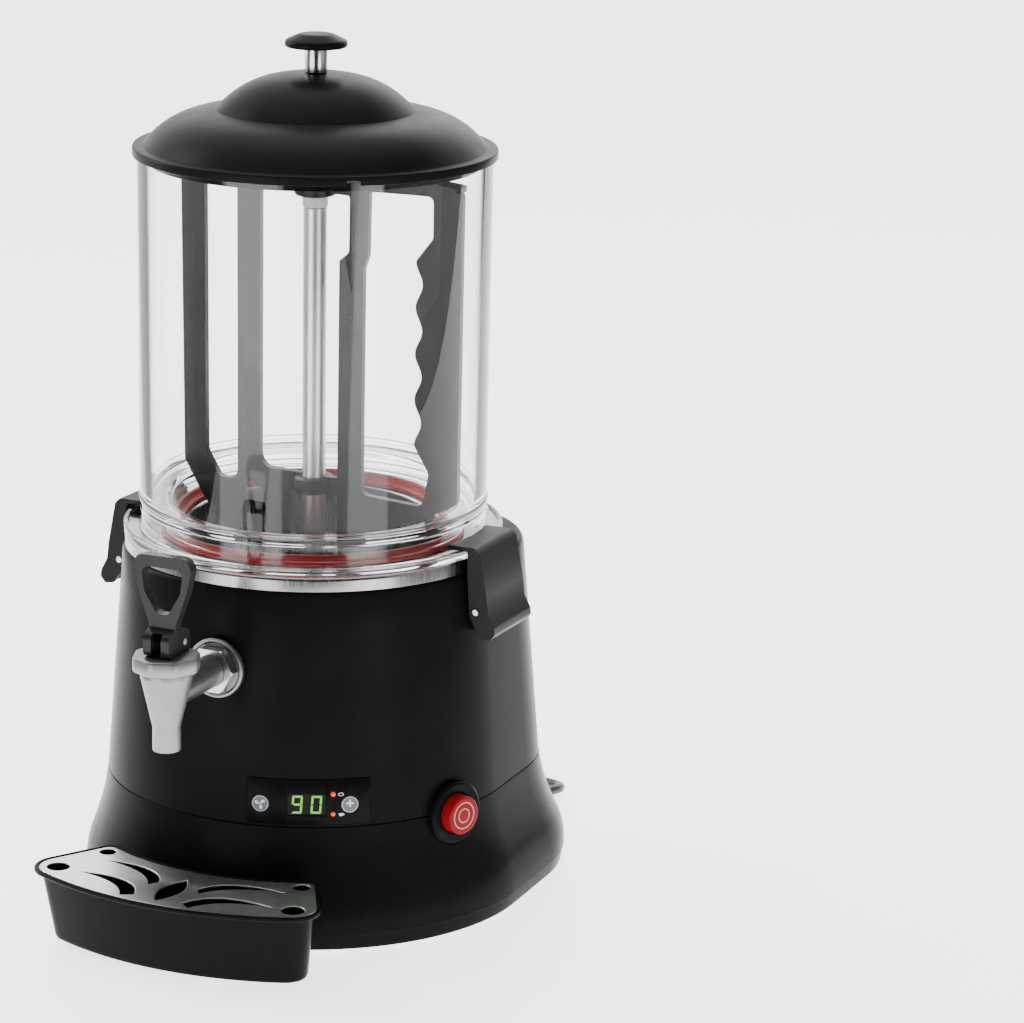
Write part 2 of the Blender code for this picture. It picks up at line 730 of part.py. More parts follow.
def round_ring(radius, like, z):
    """A circle with one point for each point of another ring, at the same bearings."""
    ring = []
    for x, y, _ in like:
        length = math.hypot(x, y)
        ring.append((x / length * radius, y / length * radius, z))
    return ring


AXIS_Y = (TRAY_OUTER_RADIUS - BASE_CORNER_Y
          - corner_radius(BASE_RADIUS, BASE_CORNER_X, BASE_CORNER_Y)) / 2
PIN_Y = TAP_Y + TAP_PIN_BACK
PIN_Z = BONNET_TOP_Z + TAP_PIN_RISE


def panel_frame(arc):
    """The bearing of a place on the panel, at an arc length from its middle."""
    return PANEL_ANGLE + arc / station(KEY_Z)[0]


def base_skirt():
    """The flared lower shell, with a lip inside the seam and the switch and gland holes."""
    levels = [SEAM_Z - share * (SEAM_Z - SKIRT_BOTTOM_Z) for share, _ in FLARE_SHARES]
    rings = [plan_ring(z) for z in levels]
    inner = [plan_ring(z, HOUSING_WALL) for z in levels[:0:-2]]
    lip_low = SEAM_Z - SEAM_LIP_HEIGHT
    lip_in = HOUSING_WALL + RUN_GAP + SEAM_LIP_WALL
    inner.append(plan_ring(lip_low, lip_in))
    inner.append(plan_ring(SEAM_Z + SEAM_LIP_HEIGHT, lip_in))
    inner.append(plan_ring(SEAM_Z + SEAM_LIP_HEIGHT, HOUSING_WALL + RUN_GAP))
    inner.append(plan_ring(SEAM_Z, HOUSING_WALL + RUN_GAP))
    shell = lofted(rings + inner, looped=True)
    return cut(shell, switch_pocket(), gland_hole())


def upper_housing():
    """The upper shell, closed on top round the pan, with its openings."""
    low = SEAM_Z + SEAT_GAP
    top = HOUSING_TOP_Z
    fillet = HOUSING_TOP_FILLET
    rings = [plan_ring(low), plan_ring(top - fillet)]
    for index in range(1, CORNER_STEPS + 1):
        angle = math.pi / 2 * index / CORNER_STEPS
        rings.append(plan_ring(top, fillet * (1 - math.cos(angle)),
                               top - fillet + fillet * math.sin(angle)))
    rings.append(round_ring(HOUSING_MOUTH_RADIUS, rings[0], top))
    rings.append(round_ring(HOUSING_MOUTH_RADIUS, rings[0], top - HOUSING_WALL))
    rings.append(plan_ring(top - HOUSING_WALL, HOUSING_WALL))
    rings.append(plan_ring(low, HOUSING_WALL))
    shell = lofted(rings, looped=True)
    inlet = rod(TAP_BARREL_RADIUS + RUN_GAP, (0.0, -SEAM_RADIUS, TAP_INLET_Z),
                (0.0, TAP_TAIL_Y, TAP_INLET_Z))
    openings = [inlet, switch_pocket(), panel_pocket(), display_hole()]
    for z in led_levels():
        openings.append(led_rod(LED_RADIUS + RUN_GAP, SEAM_RADIUS - BEZEL_DEPTH, SEAM_RADIUS, z))
    return cut(shell, *openings)


def switch_pocket():
    """The space that the switch takes out of both shells."""
    seat = SEAM_RADIUS + RUN_GAP
    profile = [(0.0, seat - BEZEL_DEPTH), (BEZEL_BARREL_RADIUS + RUN_GAP, seat - BEZEL_DEPTH),
               (BEZEL_BARREL_RADIUS + RUN_GAP, seat), (BEZEL_RADIUS + RUN_GAP, seat),
               (BEZEL_RADIUS + RUN_GAP, BASE_RADIUS), (0.0, BASE_RADIUS)]
    return moved(turned(profile, FINE_STEPS), facing(SWITCH_ANGLE, SWITCH_Z))


def panel_band(inner, outer, low, high, half_width):
    """A curved strip on the upper housing, between two distances from its surface."""
    half_angle = half_width / station(KEY_Z)[0]
    rings = []
    for z in (low, high):
        radius = station(z)[0]
        bearings = []
        for index in range(PANEL_STEPS + 1):
            bearings.append(PANEL_ANGLE + half_angle * (2 * index / PANEL_STEPS - 1))
        ring = [polar(radius + outer, bearing) for bearing in bearings]
        ring += [polar(radius + inner, bearing) for bearing in reversed(bearings)]
        rings.append([(x, y, z) for x, y in ring])
    return lofted(rings)


def panel_pocket():
    """The recess for the control panel."""
    return panel_band(PANEL_PROUD - PANEL_WALL - SEAT_GAP, BEZEL_WALL, PANEL_LOW_Z - RUN_GAP,
                      PANEL_HIGH_Z + RUN_GAP, PANEL_HALF_WIDTH + RUN_GAP)


def display_box(grow, near, far):
    """A box along the display's line of sight."""
    half_x = DISPLAY_HALF_WIDTH + grow
    half_z = DISPLAY_HALF_HEIGHT + grow
    mesh = block((-half_x, -half_z, near), (half_x, half_z, far))
    return moved(mesh, facing(panel_frame(DISPLAY_ARC), KEY_Z))


def display_hole():
    """The window behind the panel for the display."""
    return display_box(RUN_GAP, SEAM_RADIUS - BEZEL_DEPTH, SEAM_RADIUS + BEZEL_WALL)


def led_levels():
    """The heights of the two lamps."""
    return (KEY_Z + LED_SPACING / 2, KEY_Z - LED_SPACING / 2)


def led_rod(radius, near, far, z):
    """A round bar along a lamp's line of sight."""
    return moved(rod(radius, (0.0, 0.0, near), (0.0, 0.0, far)), facing(panel_frame(LED_ARC), z))


def key_rod(radius, near, far, side):
    """A round bar along a key's line of travel."""
    mesh = rod(radius, (0.0, 0.0, near), (0.0, 0.0, far))
    return moved(mesh, facing(panel_frame(KEY_MIDDLE_ARC + side * KEY_ARC), KEY_Z))


def control_panel():
    """The curved panel, with holes for its keys, display and lamps."""
    strip = panel_band(PANEL_PROUD - PANEL_WALL, PANEL_PROUD, PANEL_LOW_Z, PANEL_HIGH_Z,
                       PANEL_HALF_WIDTH)
    near = SEAM_RADIUS - BEZEL_DEPTH
    far = SEAM_RADIUS + BEZEL_WALL
    holes = [display_box(RUN_GAP, near, far)]
    for side in (-1, 1):
        holes.append(key_rod(KEY_RADIUS + RUN_GAP, near, far, side))
    for z in led_levels():
        holes.append(led_rod(LED_RADIUS + RUN_GAP, near, far, z))
    return cut(strip, *holes)


def gland_frame():
    """Where the cord leaves the skirt: a matrix whose +Z points out of the rear corner."""
    radius, corner_x, corner_y = station(GLAND_Z)
    rear = corner_radius(radius, corner_x, corner_y)
    out = Vector((math.cos(GLAND_ANGLE), math.sin(GLAND_ANGLE), 0.0))
    side = Vector((-out.y, out.x, 0.0))
    turn = Matrix((side, Vector((0.0, 0.0, 1.0)), out)).transposed().to_4x4()
    centre = Vector((corner_x, corner_y, GLAND_Z)) + out * rear
    return Matrix.Translation(centre) @ turn


def gland_hole():
    """The hole that the strain relief passes through."""
    inward = HOUSING_WALL + CUT_OVERRUN
    mesh = rod(GLAND_ROOT_RADIUS + RUN_GAP, (0.0, 0.0, -inward), (0.0, 0.0, inward))
    return moved(mesh, gland_frame())


def cord_gland():
    """The tapered strain relief, ringed by grooves."""
    root = HOUSING_WALL
    profile = [(0.0, -root), (GLAND_ROOT_RADIUS, -root), (GLAND_ROOT_RADIUS, SEAT_GAP * 2),
               (GLAND_FLANGE_RADIUS, SEAT_GAP * 2), (GLAND_FLANGE_RADIUS, GLAND_FLANGE_WALL)]
    length = GLAND_LENGTH - GLAND_FLANGE_WALL
    pitch = length / (GLAND_GROOVE_COUNT + 1)
    for index in range(GLAND_GROOVE_COUNT + 1):
        for share, drop in GLAND_GROOVE_SHARES:
            reach = (index + share) / (GLAND_GROOVE_COUNT + 1)
            radius = GLAND_ROOT_RADIUS + (GLAND_TIP_RADIUS - GLAND_ROOT_RADIUS) * reach
            if index == GLAND_GROOVE_COUNT:
                drop = 0.0
            profile.append((radius - GLAND_GROOVE_DEPTH * drop,
                            GLAND_FLANGE_WALL + pitch * (index + share)))
    profile.append((GLAND_TIP_RADIUS, GLAND_LENGTH - SEAT_GAP))
    profile.append((0.0, GLAND_LENGTH - SEAT_GAP))
    return moved(turned(profile, TUBE_STEPS), gland_frame())


def base_plate():
    """The flat plate that closes the skirt from below."""
    inset = HOUSING_WALL + RUN_GAP
    return lofted([plan_ring(BASE_PLATE_Z, inset),
                   plan_ring(BASE_PLATE_Z, inset, BASE_PLATE_Z + BASE_PLATE_WALL)])


def foot():
    """One rubber foot."""
    top = BASE_PLATE_Z - SEAT_GAP
    return turned([(0.0, 0.0), (FOOT_RADIUS, 0.0), (FOOT_TOP_RADIUS, top), (0.0, top)], SMALL_STEPS)


def heating_pan():
    """The pressed pan: floor, wall, and a rim folded down over the housing."""
    corner = PAN_CORNER
    fold = PAN_RIM_CORNER
    top = PAN_TOP_Z
    floor = PAN_FLOOR_Z
    upper = [(COLUMN_BORE_RADIUS, floor)]
    upper += arc_points((PAN_RADIUS - corner, floor + corner), corner, -math.pi / 2, 0.0, CORNER_STEPS)
    upper += [(PAN_RADIUS, top - fold), (PAN_RADIUS + fold, top)]
    upper += arc_points((PAN_RIM_RADIUS - fold, top - fold), fold, math.pi / 2, 0.0, 2)
    upper.append((PAN_RIM_RADIUS, HOUSING_TOP_Z + SEAT_GAP))
    thin = PAN_WALL
    lower = [(PAN_RIM_RADIUS - thin, HOUSING_TOP_Z + SEAT_GAP), (PAN_RIM_RADIUS - thin, top - thin),
             (PAN_RADIUS + thin, top - thin)]
    lower += arc_points((PAN_RADIUS - corner, floor + corner), corner + thin, 0.0, -math.pi / 2, 2)
    lower.append((COLUMN_BORE_RADIUS, floor - thin))
    pan = turned(upper + lower)
    outlet = rod(OUTLET_RADIUS, (0.0, OUTLET_Y, floor - CUT_OVERRUN - thin),
                 (0.0, OUTLET_Y, floor + CUT_OVERRUN))
    return cut(pan, outlet)


def bowl_seal():
    """The silicone ring between the pan and the bowl."""
    low = PAN_TOP_Z + SEAT_GAP
    high = low + SEAL_HEIGHT
    bead = SEAL_HEIGHT / 4
    return turned([(SEAL_INNER_RADIUS, low), (SEAL_OUTER_RADIUS, low), (SEAL_OUTER_RADIUS, high - bead),
                   (SEAL_OUTER_RADIUS - bead, high), (SEAL_INNER_RADIUS + bead, high),
                   (SEAL_INNER_RADIUS, high - bead)])


def bowl():
    """The clear bowl: wall, bead, foot flange with its lip, and the inner ledge."""
    flange_low = PAN_TOP_Z + SEAT_GAP
    flange_high = flange_low + BOWL_FLANGE_WALL
    seal_top = flange_low + SEAL_HEIGHT + SEAT_GAP
    ledge_low = BOWL_LEDGE_TOP_Z - BOWL_LEDGE_WALL
    bead = BOWL_BEAD_DEPTH
    half = BOWL_BEAD_HEIGHT / 2
    lip = BOWL_FLANGE_RADIUS - BOWL_FLANGE_LIP_WIDTH
    channel = BOWL_FOOT_RADIUS - BOWL_WALL
    inner = BOWL_RADIUS - BOWL_WALL
    throat = BOWL_THROAT_RADIUS
    soft = BOWL_WALL / 4
    profile = [
        (BOWL_RADIUS - soft, BOWL_TOP_Z), (BOWL_RADIUS, BOWL_TOP_Z - soft),
        (BOWL_FOOT_RADIUS, BOWL_BEAD_Z + half), (BOWL_FOOT_RADIUS + bead, BOWL_BEAD_Z + half / 2),
        (BOWL_FOOT_RADIUS + bead, BOWL_BEAD_Z - half / 2), (BOWL_FOOT_RADIUS, BOWL_BEAD_Z - half),
        (BOWL_FOOT_RADIUS, flange_high),
        (lip, flange_high), (lip, flange_high + BOWL_FLANGE_LIP_HEIGHT),
        (BOWL_FLANGE_RADIUS, flange_high + BOWL_FLANGE_LIP_HEIGHT),
        (BOWL_FLANGE_RADIUS, flange_low), (channel, flange_low), (channel, ledge_low),
        (throat + BOWL_WALL, ledge_low), (throat + BOWL_WALL, seal_top), (throat, seal_top),
        (throat, BOWL_LEDGE_TOP_Z - BOWL_WALL), (throat + BOWL_WALL, BOWL_LEDGE_TOP_Z),
        (channel - soft, BOWL_LEDGE_TOP_Z), (channel, BOWL_LEDGE_TOP_Z + soft), (inner, BOWL_TOP_Z)]
    return turned(profile)


def lid():
    """The domed lid: a lip over the bowl's edge, a skirt inside it, and a notch in the lip."""
    lip_in = LID_RADIUS - LID_LIP_WALL
    flange_low = BOWL_TOP_Z + SEAT_GAP
    lip_low = LID_FLANGE_TOP_Z - LID_LIP_DEPTH
    bore = SCREW_RADIUS + RUN_GAP
    rise = LID_TOP_Z - LID_CREASE_Z
    outer = [(bore, LID_TOP_Z)]
    # the upper dome falls away from the middle, and the lower dome is a flatter cone
    for share in DOME_OUTER_SHARES:
        outer.append((LID_CREASE_RADIUS * share, LID_TOP_Z - rise * share ** 2))
    outer.append(((LID_CREASE_RADIUS + LID_DOME_EDGE_RADIUS) / 2,
                  (LID_CREASE_Z + LID_FLANGE_TOP_Z) / 2 + LID_WALL))
    outer += [(LID_DOME_EDGE_RADIUS, LID_FLANGE_TOP_Z), (LID_RADIUS - LID_WALL / 4, LID_FLANGE_TOP_Z),
              (LID_RADIUS, LID_FLANGE_TOP_Z - LID_WALL / 4), (LID_RADIUS, lip_low), (lip_in, lip_low),
              (lip_in, flange_low), (LID_SKIRT_RADIUS, flange_low)]
    skirt_low = flange_low - LID_SKIRT_DEPTH
    inner = [(LID_SKIRT_RADIUS, skirt_low), (LID_SKIRT_RADIUS - LID_WALL, skirt_low),
             (LID_SKIRT_RADIUS - LID_WALL, flange_low)]
    under = (outer[5][0], outer[5][1] - LID_WALL)
    inner += [under, (LID_CREASE_RADIUS, LID_CREASE_Z - LID_WALL)]
    for share in DOME_INNER_SHARES:
        inner.append((LID_CREASE_RADIUS * share, LID_TOP_Z - rise * share ** 2 - LID_WALL))
    inner.append((SCREW_HEAD_RADIUS + RUN_GAP, LID_TOP_Z - LID_WALL))
    inner.append((bore, LID_TOP_Z - LID_WALL))
    dome = turned(outer + inner)
    half = LID_NOTCH_WIDTH / 2
    notch = block((-half, -CUT_OVERRUN, lip_in - RUN_GAP),
                  (half, LID_NOTCH_HEIGHT, LID_RADIUS + CUT_OVERRUN))
    return cut(dome, moved(notch, facing(LID_NOTCH_ANGLE, lip_low)))


def knob_stem():
    """The neck between the lid and its knob."""
    low = LID_TOP_Z + SEAT_GAP
    bore = SCREW_RADIUS + RUN_GAP
    return turned([(bore, low), (KNOB_STEM_RADIUS, low), (KNOB_STEM_RADIUS, low + KNOB_STEM_HEIGHT),
                   (bore, low + KNOB_STEM_HEIGHT)], SMALL_STEPS)


def knob_low():
    """The height of the knob's underside."""
    return LID_TOP_Z + KNOB_STEM_HEIGHT + SEAT_GAP * 2


def knob():
    """The round knob, dished on top, with a blind hole for its screw."""
    low = knob_low()
    high = low + KNOB_HEIGHT
    edge = KNOB_HEIGHT / 4
    bore = SCREW_RADIUS + RUN_GAP
    return turned([(0.0, high - KNOB_DIMPLE_DEPTH), (KNOB_DIMPLE_RADIUS / 2, high - KNOB_DIMPLE_DEPTH),
                   (KNOB_DIMPLE_RADIUS, high), (KNOB_RADIUS - edge, high), (KNOB_RADIUS, high - edge),
                   (KNOB_RADIUS, low + edge), (KNOB_RADIUS - edge, low), (bore, low),
                   (bore, low + KNOB_HEIGHT / 2), (0.0, low + KNOB_HEIGHT / 2)], FINE_STEPS)


def lid_screw():
    """The screw that holds the knob from inside the lid."""
    head_top = LID_TOP_Z - LID_WALL - SEAT_GAP
    return turned([(0.0, head_top - SCREW_HEAD_HEIGHT), (SCREW_HEAD_RADIUS, head_top - SCREW_HEAD_HEIGHT),
                   (SCREW_HEAD_RADIUS, head_top), (SCREW_RADIUS, head_top),
                   (SCREW_RADIUS, head_top + SCREW_LENGTH - SCREW_HEAD_HEIGHT),
                   (0.0, head_top + SCREW_LENGTH - SCREW_HEAD_HEIGHT)], SMALL_STEPS)


def column_tube():
    """The steel tube that carries the shaft up through the chocolate."""
    low = PAN_FLOOR_Z + SEAT_GAP
    foot_top = low + COLUMN_FOOT_HEIGHT
    return turned([(COLUMN_BORE_RADIUS, low), (COLUMN_FOOT_RADIUS, low), (COLUMN_FOOT_RADIUS, foot_top),
                   (COLUMN_RADIUS, foot_top), (COLUMN_RADIUS, COLUMN_TOP_Z),
                   (COLUMN_BORE_RADIUS, COLUMN_TOP_Z)], SMALL_STEPS)


def column_bush():
    """The bush that guides the shaft at the top of the column."""
    low = COLUMN_TOP_Z + SEAT_GAP
    bore = SHAFT_RADIUS + RUN_GAP
    return turned([(bore, low), (BUSH_RADIUS, low), (BUSH_RADIUS, low + BUSH_HEIGHT),
                   (bore, low + BUSH_HEIGHT)], SMALL_STEPS)


def gearbox_top():
    """The height of the gearbox's output boss."""
    return BRACKET_TOP_Z + SEAT_GAP + GEARBOX_HEIGHT + GEARBOX_BOSS_HEIGHT


def drive_shaft():
    """The long shaft from the gearbox to the agitator, with its coupling."""
    low = gearbox_top() + SEAT_GAP
    high = HUB_CAP_Z + SEAT_GAP
    return turned([(0.0, low), (COUPLING_RADIUS, low), (COUPLING_RADIUS, low + COUPLING_HEIGHT),
                   (SHAFT_RADIUS, low + COUPLING_HEIGHT), (SHAFT_RADIUS, high), (0.0, high)], SMALL_STEPS)


def gear_motor():
    """The gearbox on the bracket, with the motor hanging through it."""
    low = BRACKET_TOP_Z + SEAT_GAP
    half_x = GEARBOX_HALF_X
    half_y = GEARBOX_HALF_Y
    outline = rounded_outline([(half_x, half_y, GEARBOX_CORNER), (-half_x, half_y, GEARBOX_CORNER),
                               (-half_x, -half_y, GEARBOX_CORNER), (half_x, -half_y, GEARBOX_CORNER)])
    box = plate([outline], low, low + GEARBOX_HEIGHT)
    can = rod(MOTOR_RADIUS, (0.0, 0.0, low - MOTOR_LENGTH), (0.0, 0.0, low + GEARBOX_CORNER), FINE_STEPS)
    boss = rod(GEARBOX_BOSS_RADIUS, (0.0, 0.0, low + GEARBOX_CORNER), (0.0, 0.0, gearbox_top()))
    return joined(box, can, boss)


def motor_bracket():
    """The bent bracket that stands on the base plate and carries the gearbox."""
    low = BASE_PLATE_Z + BASE_PLATE_WALL + SEAT_GAP
    wall = BRACKET_WALL
    half = BRACKET_HALF_WIDTH
    toe = half + BRACKET_FOOT_LENGTH
    right = [(half - wall, low), (toe, low), (toe, low + wall), (half, low + wall), (half, BRACKET_TOP_Z)]
    left = [(-x, z) for x, z in reversed(right)]
    under = [(-half + wall, BRACKET_TOP_Z - wall), (half - wall, BRACKET_TOP_Z - wall)]
    frame = plate([right + left + under], -BRACKET_HALF_DEPTH, BRACKET_HALF_DEPTH, "XZ")
    hole = rod(MOTOR_RADIUS + HOUSING_WALL / 3, (0.0, 0.0, BRACKET_TOP_Z - wall - CUT_OVERRUN),
               (0.0, 0.0, BRACKET_TOP_Z + CUT_OVERRUN), FINE_STEPS)
    return cut(frame, hole)


def heater_element():
    """The ring heater under the pan's floor."""
    centre = PAN_FLOOR_Z - PAN_WALL - SEAT_GAP - HEATER_TUBE_RADIUS
    return turned(circle_points((HEATER_RADIUS, centre), HEATER_TUBE_RADIUS, SMALL_STEPS // 3), FINE_STEPS)


def thermostat():
    """The round thermostat pressed against the pan's floor."""
    high = PAN_FLOOR_Z - PAN_WALL - SEAT_GAP
    return rod(THERMOSTAT_RADIUS, (THERMOSTAT_X, 0.0, high - THERMOSTAT_HEIGHT), (THERMOSTAT_X, 0.0, high))


# Agitator outlines, as shares of its reach (x, from the axis) and height (z, above the scrapers)
AGITATOR_HEIGHT = AGITATOR_TOP_Z - FOOT_SCRAPER_Z
AGITATOR_REACH = -AGITATOR_LEFT_X
FRAME_SHARES = (
    (-1.0, 1.0, 0.075), (1.042, 1.0, 0.055), (1.034, 0.236, 0.055), (0.915, 0.208, 0.04),
    (0.72, 0.176, 0.05), (0.58, 0.145, 0.05), (0.53, 0.10, 0.06), (0.50, 0.0, 0.04),
    (0.185, 0.0, 0.03), (0.185, 0.208, 0.02), (-0.175, 0.208, 0.02), (-0.175, 0.0, 0.03),
    (-0.363, 0.0, 0.03), (-0.363, 0.208, 0.075), (-0.522, 0.208, 0.075), (-0.522, 0.0, 0.03),
    (-0.64, 0.0, 0.03), (-0.665, 0.085, 0.05), (-0.835, 0.157, 0.03), (-0.978, 0.238, 0.04))
LEFT_WINDOW_SHARES = (
    (-0.813, 0.946, 0.03), (-0.805, 0.267, 0.09), (-0.70, 0.208, 0.05), (-0.559, 0.208, 0.07),
    (-0.563, 0.946, 0.03))
MIDDLE_WINDOW_SHARES = (
    (-0.392, 0.946, 0.03), (-0.393, 0.25, 0.09), (0.185, 0.25, 0.02), (0.188, 0.787, 0.02),
    (0.258, 0.809, 0.05), (0.261, 0.946, 0.02))
RIGHT_WINDOW_LOW_SHARES = ((0.357, 0.218, 0.06), (0.80, 0.214, 0.06), (0.84, 0.30, 0.07))
SCALLOP_SHARES = (0.758, 0.024)
SCALLOP_HEIGHT_SHARES = (0.3638, 0.1123)
RIGHT_WINDOW_HIGH_SHARES = (
    (0.85, 0.872, 0.03), (0.85, 0.972, 0.04), (0.398, 0.962, 0.02), (0.392, 0.806, 0.03),
    (0.361, 0.772, 0.03))


def agitator_corners(shares):
    """Corners of an agitator outline, with their radii, from its shares."""
    corners = []
    for x, z, radius in shares:
        corners.append((x * AGITATOR_REACH, FOOT_SCRAPER_Z + z * AGITATOR_HEIGHT, radius * AGITATOR_REACH))
    return corners


def scalloped_shares():
    """The wavy inner edge of the blade, from its lowest wave up, as shares without radii."""
    middle, swing = SCALLOP_SHARES
    first, pitch = SCALLOP_HEIGHT_SHARES
    shares = []
    for index in range((SCALLOP_COUNT - 1) * SCALLOP_STEPS + 1):
        phase = math.tau * index / SCALLOP_STEPS
        shares.append((middle - swing * math.cos(phase), first + pitch * index / SCALLOP_STEPS, 0.0))
    return tuple(shares)


def agitator():
    """The stirring frame: one flat moulding with windows, a flange, a hub and a collar."""
    frame = rounded_outline(agitator_corners(FRAME_SHARES))
    left = rounded_outline(agitator_corners(LEFT_WINDOW_SHARES))
    middle = rounded_outline(agitator_corners(MIDDLE_WINDOW_SHARES))
    right = rounded_outline(agitator_corners(RIGHT_WINDOW_LOW_SHARES + scalloped_shares()
                                             + RIGHT_WINDOW_HIGH_SHARES))
    half = AGITATOR_WALL / 2
    sheet = plate([frame, left, middle, right], -half, half, "XZ")
    corner = TOP_FLANGE_HALF_WIDTH / 2
    wide = TOP_FLANGE_HALF_WIDTH
    ends = [(AGITATOR_RIGHT_X, wide, corner), (AGITATOR_LEFT_X, wide, corner),
            (AGITATOR_LEFT_X, -wide, corner), (AGITATOR_RIGHT_X, -wide, corner)]
    flange_low = AGITATOR_TOP_Z - TOP_FLANGE_WALL / 2
    flange = plate([rounded_outline(ends)], flange_low, flange_low + TOP_FLANGE_WALL)
    cap_low = HUB_CAP_Z + TOP_FLANGE_WALL / 2
    hub = turned([(0.0, HUB_BOTTOM_Z), (HUB_RADIUS, HUB_BOTTOM_Z), (HUB_RADIUS, cap_low),
                  (HUB_CAP_RADIUS, cap_low), (HUB_CAP_RADIUS, HUB_TOP_Z), (0.0, HUB_TOP_Z)], SMALL_STEPS)
    collar = rod(COLLAR_RADIUS, (0.0, 0.0, COLLAR_TOP_Z - COLLAR_HEIGHT), (0.0, 0.0, COLLAR_TOP_Z))
    solid = joined(sheet, flange, hub, collar)
    clear = COLUMN_RADIUS + COLLAR_CLEARANCE
    around = rod(clear, (0.0, 0.0, FOOT_SCRAPER_Z), (0.0, 0.0, COLLAR_TOP_Z + COLLAR_HEIGHT))
    bore = rod(SHAFT_RADIUS + RUN_GAP, (0.0, 0.0, HUB_BOTTOM_Z - CUT_OVERRUN),
               (0.0, 0.0, HUB_CAP_Z + SEAT_GAP * 2))
    return cut(solid, bore, around)


# Latch outlines: steps from the pin as (x, z, radius), in shares of the latch's reach above the pin
LATCH_LIFT = PAN_TOP_Z + SEAT_GAP + BOWL_FLANGE_WALL + BOWL_FLANGE_LIP_HEIGHT + SEAT_GAP - LATCH_PIN_Z
LATCH_NECK_SHARE = -0.15
LATCH_BACK_SHARES = (
    (0.345, -0.215, 0.04), (0.362, -0.335, 0.05), (0.27, -0.445, 0.05), (0.11, -0.42, 0.04),
    (0.012, -0.288, 0.05), (-0.10, -0.067, 0.06), (-0.115, 0.10, 0.06), (LATCH_NECK_SHARE, 0.62, 0.06))
LATCH_FRONT_SHARES = ((0.07, 0.975), (0.138, 0.62), (0.20, 0.28), (0.234, -0.015))
LATCH_TOP_SHARES = (-0.02, 0.08)


def latch_side():
    """The latch's side view: hook, front, finger lip and cheek."""
    lift = LATCH_LIFT
    top = lift + LATCH_WALL
    hook = LATCH_HOOK_RADIUS - LATCH_PIN_X - LATCH_WALL
    edge, round_share = LATCH_TOP_SHARES
    corners = [(hook, lift, 0.0), (hook, top, 0.0), (edge * lift, top, round_share * lift)]
    corners += [(x * lift, z * lift, 0.0) for x, z in LATCH_FRONT_SHARES]
    corners += [(x * lift, z * lift, r * lift) for x, z, r in LATCH_BACK_SHARES]
    corners.append((LATCH_NECK_SHARE * lift, lift, 0.0))
    return corners


def latch_pocket():
    """The hollow behind the latch's front."""
    lift = LATCH_LIFT
    corners = [(-lift, lift), (LATCH_FRONT_SHARES[0][0] * lift - LATCH_WALL, lift)]
    corners += [(x * lift - LATCH_WALL, z * lift) for x, z in LATCH_FRONT_SHARES]
    low = LATCH_FRONT_SHARES[-1][0] * lift - LATCH_WALL
    corners += [(low, -lift / 2), (-lift, -lift / 2)]
    return corners


def latch(side):
    """A latch that hooks over the bowl's flange and turns on its pin."""
    half = LATCH_HALF_WIDTH
    inside = half - LATCH_WALL
    outline = rounded_outline(latch_side())
    body = plate([outline], -half, half, "XZ")
    pocket = plate([latch_pocket()], -inside, inside, "XZ")
    bore = rod(LATCH_PIN_RADIUS + RUN_GAP, (0.0, -half - CUT_OVERRUN, 0.0), (0.0, half + CUT_OVERRUN, 0.0))
    mouth = rod(LATCH_HOOK_RADIUS, (-LATCH_PIN_X, 0.0, LATCH_LIFT - CUT_OVERRUN / 2),
                (-LATCH_PIN_X, 0.0, LATCH_LIFT + LATCH_WALL + CUT_OVERRUN), ROUND_STEPS)
    mesh = cut(body, pocket, bore, mouth)
    mesh.transform(Matrix.Translation((LATCH_PIN_X, 0.0, LATCH_PIN_Z)))
    return mirrored(mesh, side)


def mirrored(mesh, side):
    """A right-hand mesh, or its mirror image for the left side."""
    if side > 0:
        return mesh
    mesh.transform(Matrix.Scale(-1.0, 4, (1.0, 0.0, 0.0)))
    mesh.flip_normals()
    return mesh


def latch_bracket(side):
    """The bracket on the housing, with its boss for the latch's pin."""
    half = LATCH_BRACKET_HALF_WIDTH
    rings = []
    steps = CORNER_STEPS * 2
    for z in (LATCH_BRACKET_LOW_Z, LATCH_BRACKET_HIGH_Z):
        back = []
        for index in range(steps + 1):
            y = half * (2 * index / steps - 1)
            back.append((side_reach(z, y) + SEAT_GAP, y))
        front = [(LATCH_BRACKET_FRONT_X, half), (LATCH_BRACKET_FRONT_X, -half)]
        rings.append([(x, y, z) for x, y in back + front])
    plinth = lofted(rings)
    boss = rod(LATCH_BOSS_RADIUS, (LATCH_PIN_X, -half, LATCH_PIN_Z), (LATCH_PIN_X, half, LATCH_PIN_Z))
    bore = rod(LATCH_PIN_RADIUS + RUN_GAP, (LATCH_PIN_X, -half - CUT_OVERRUN, LATCH_PIN_Z),
               (LATCH_PIN_X, half + CUT_OVERRUN, LATCH_PIN_Z))
    return mirrored(cut(joined(plinth, boss), bore), side)


def latch_pin(side):
    """The pin through the latch and its bracket."""
    reach = LATCH_HALF_WIDTH + LATCH_PIN_OVERHANG
    x = side * LATCH_PIN_X
    return rod(LATCH_PIN_RADIUS, (x, -reach, LATCH_PIN_Z), (x, reach, LATCH_PIN_Z))


# Tap

def at_tap(mesh):
    """Moves a solid drawn round Z to the tap's axis."""
    return moved(mesh, Matrix.Translation((0.0, TAP_Y, 0.0)))


def along_inlet(profile, steps=SMALL_STEPS):
    """Turns a profile of (radius, distance from the bowl's axis) round the tap's inlet."""
    return moved(turned(profile, steps), facing(0.0, TAP_INLET_Z))


def hexagon(radius, bore, near, far, sides=6):
    """A nut round the inlet."""
    outer = circle_points((0.0, 0.0), radius, sides)
    inner = circle_points((0.0, 0.0), bore, SMALL_STEPS)
    return moved(plate([outer, inner], near, far), facing(0.0, TAP_INLET_Z))


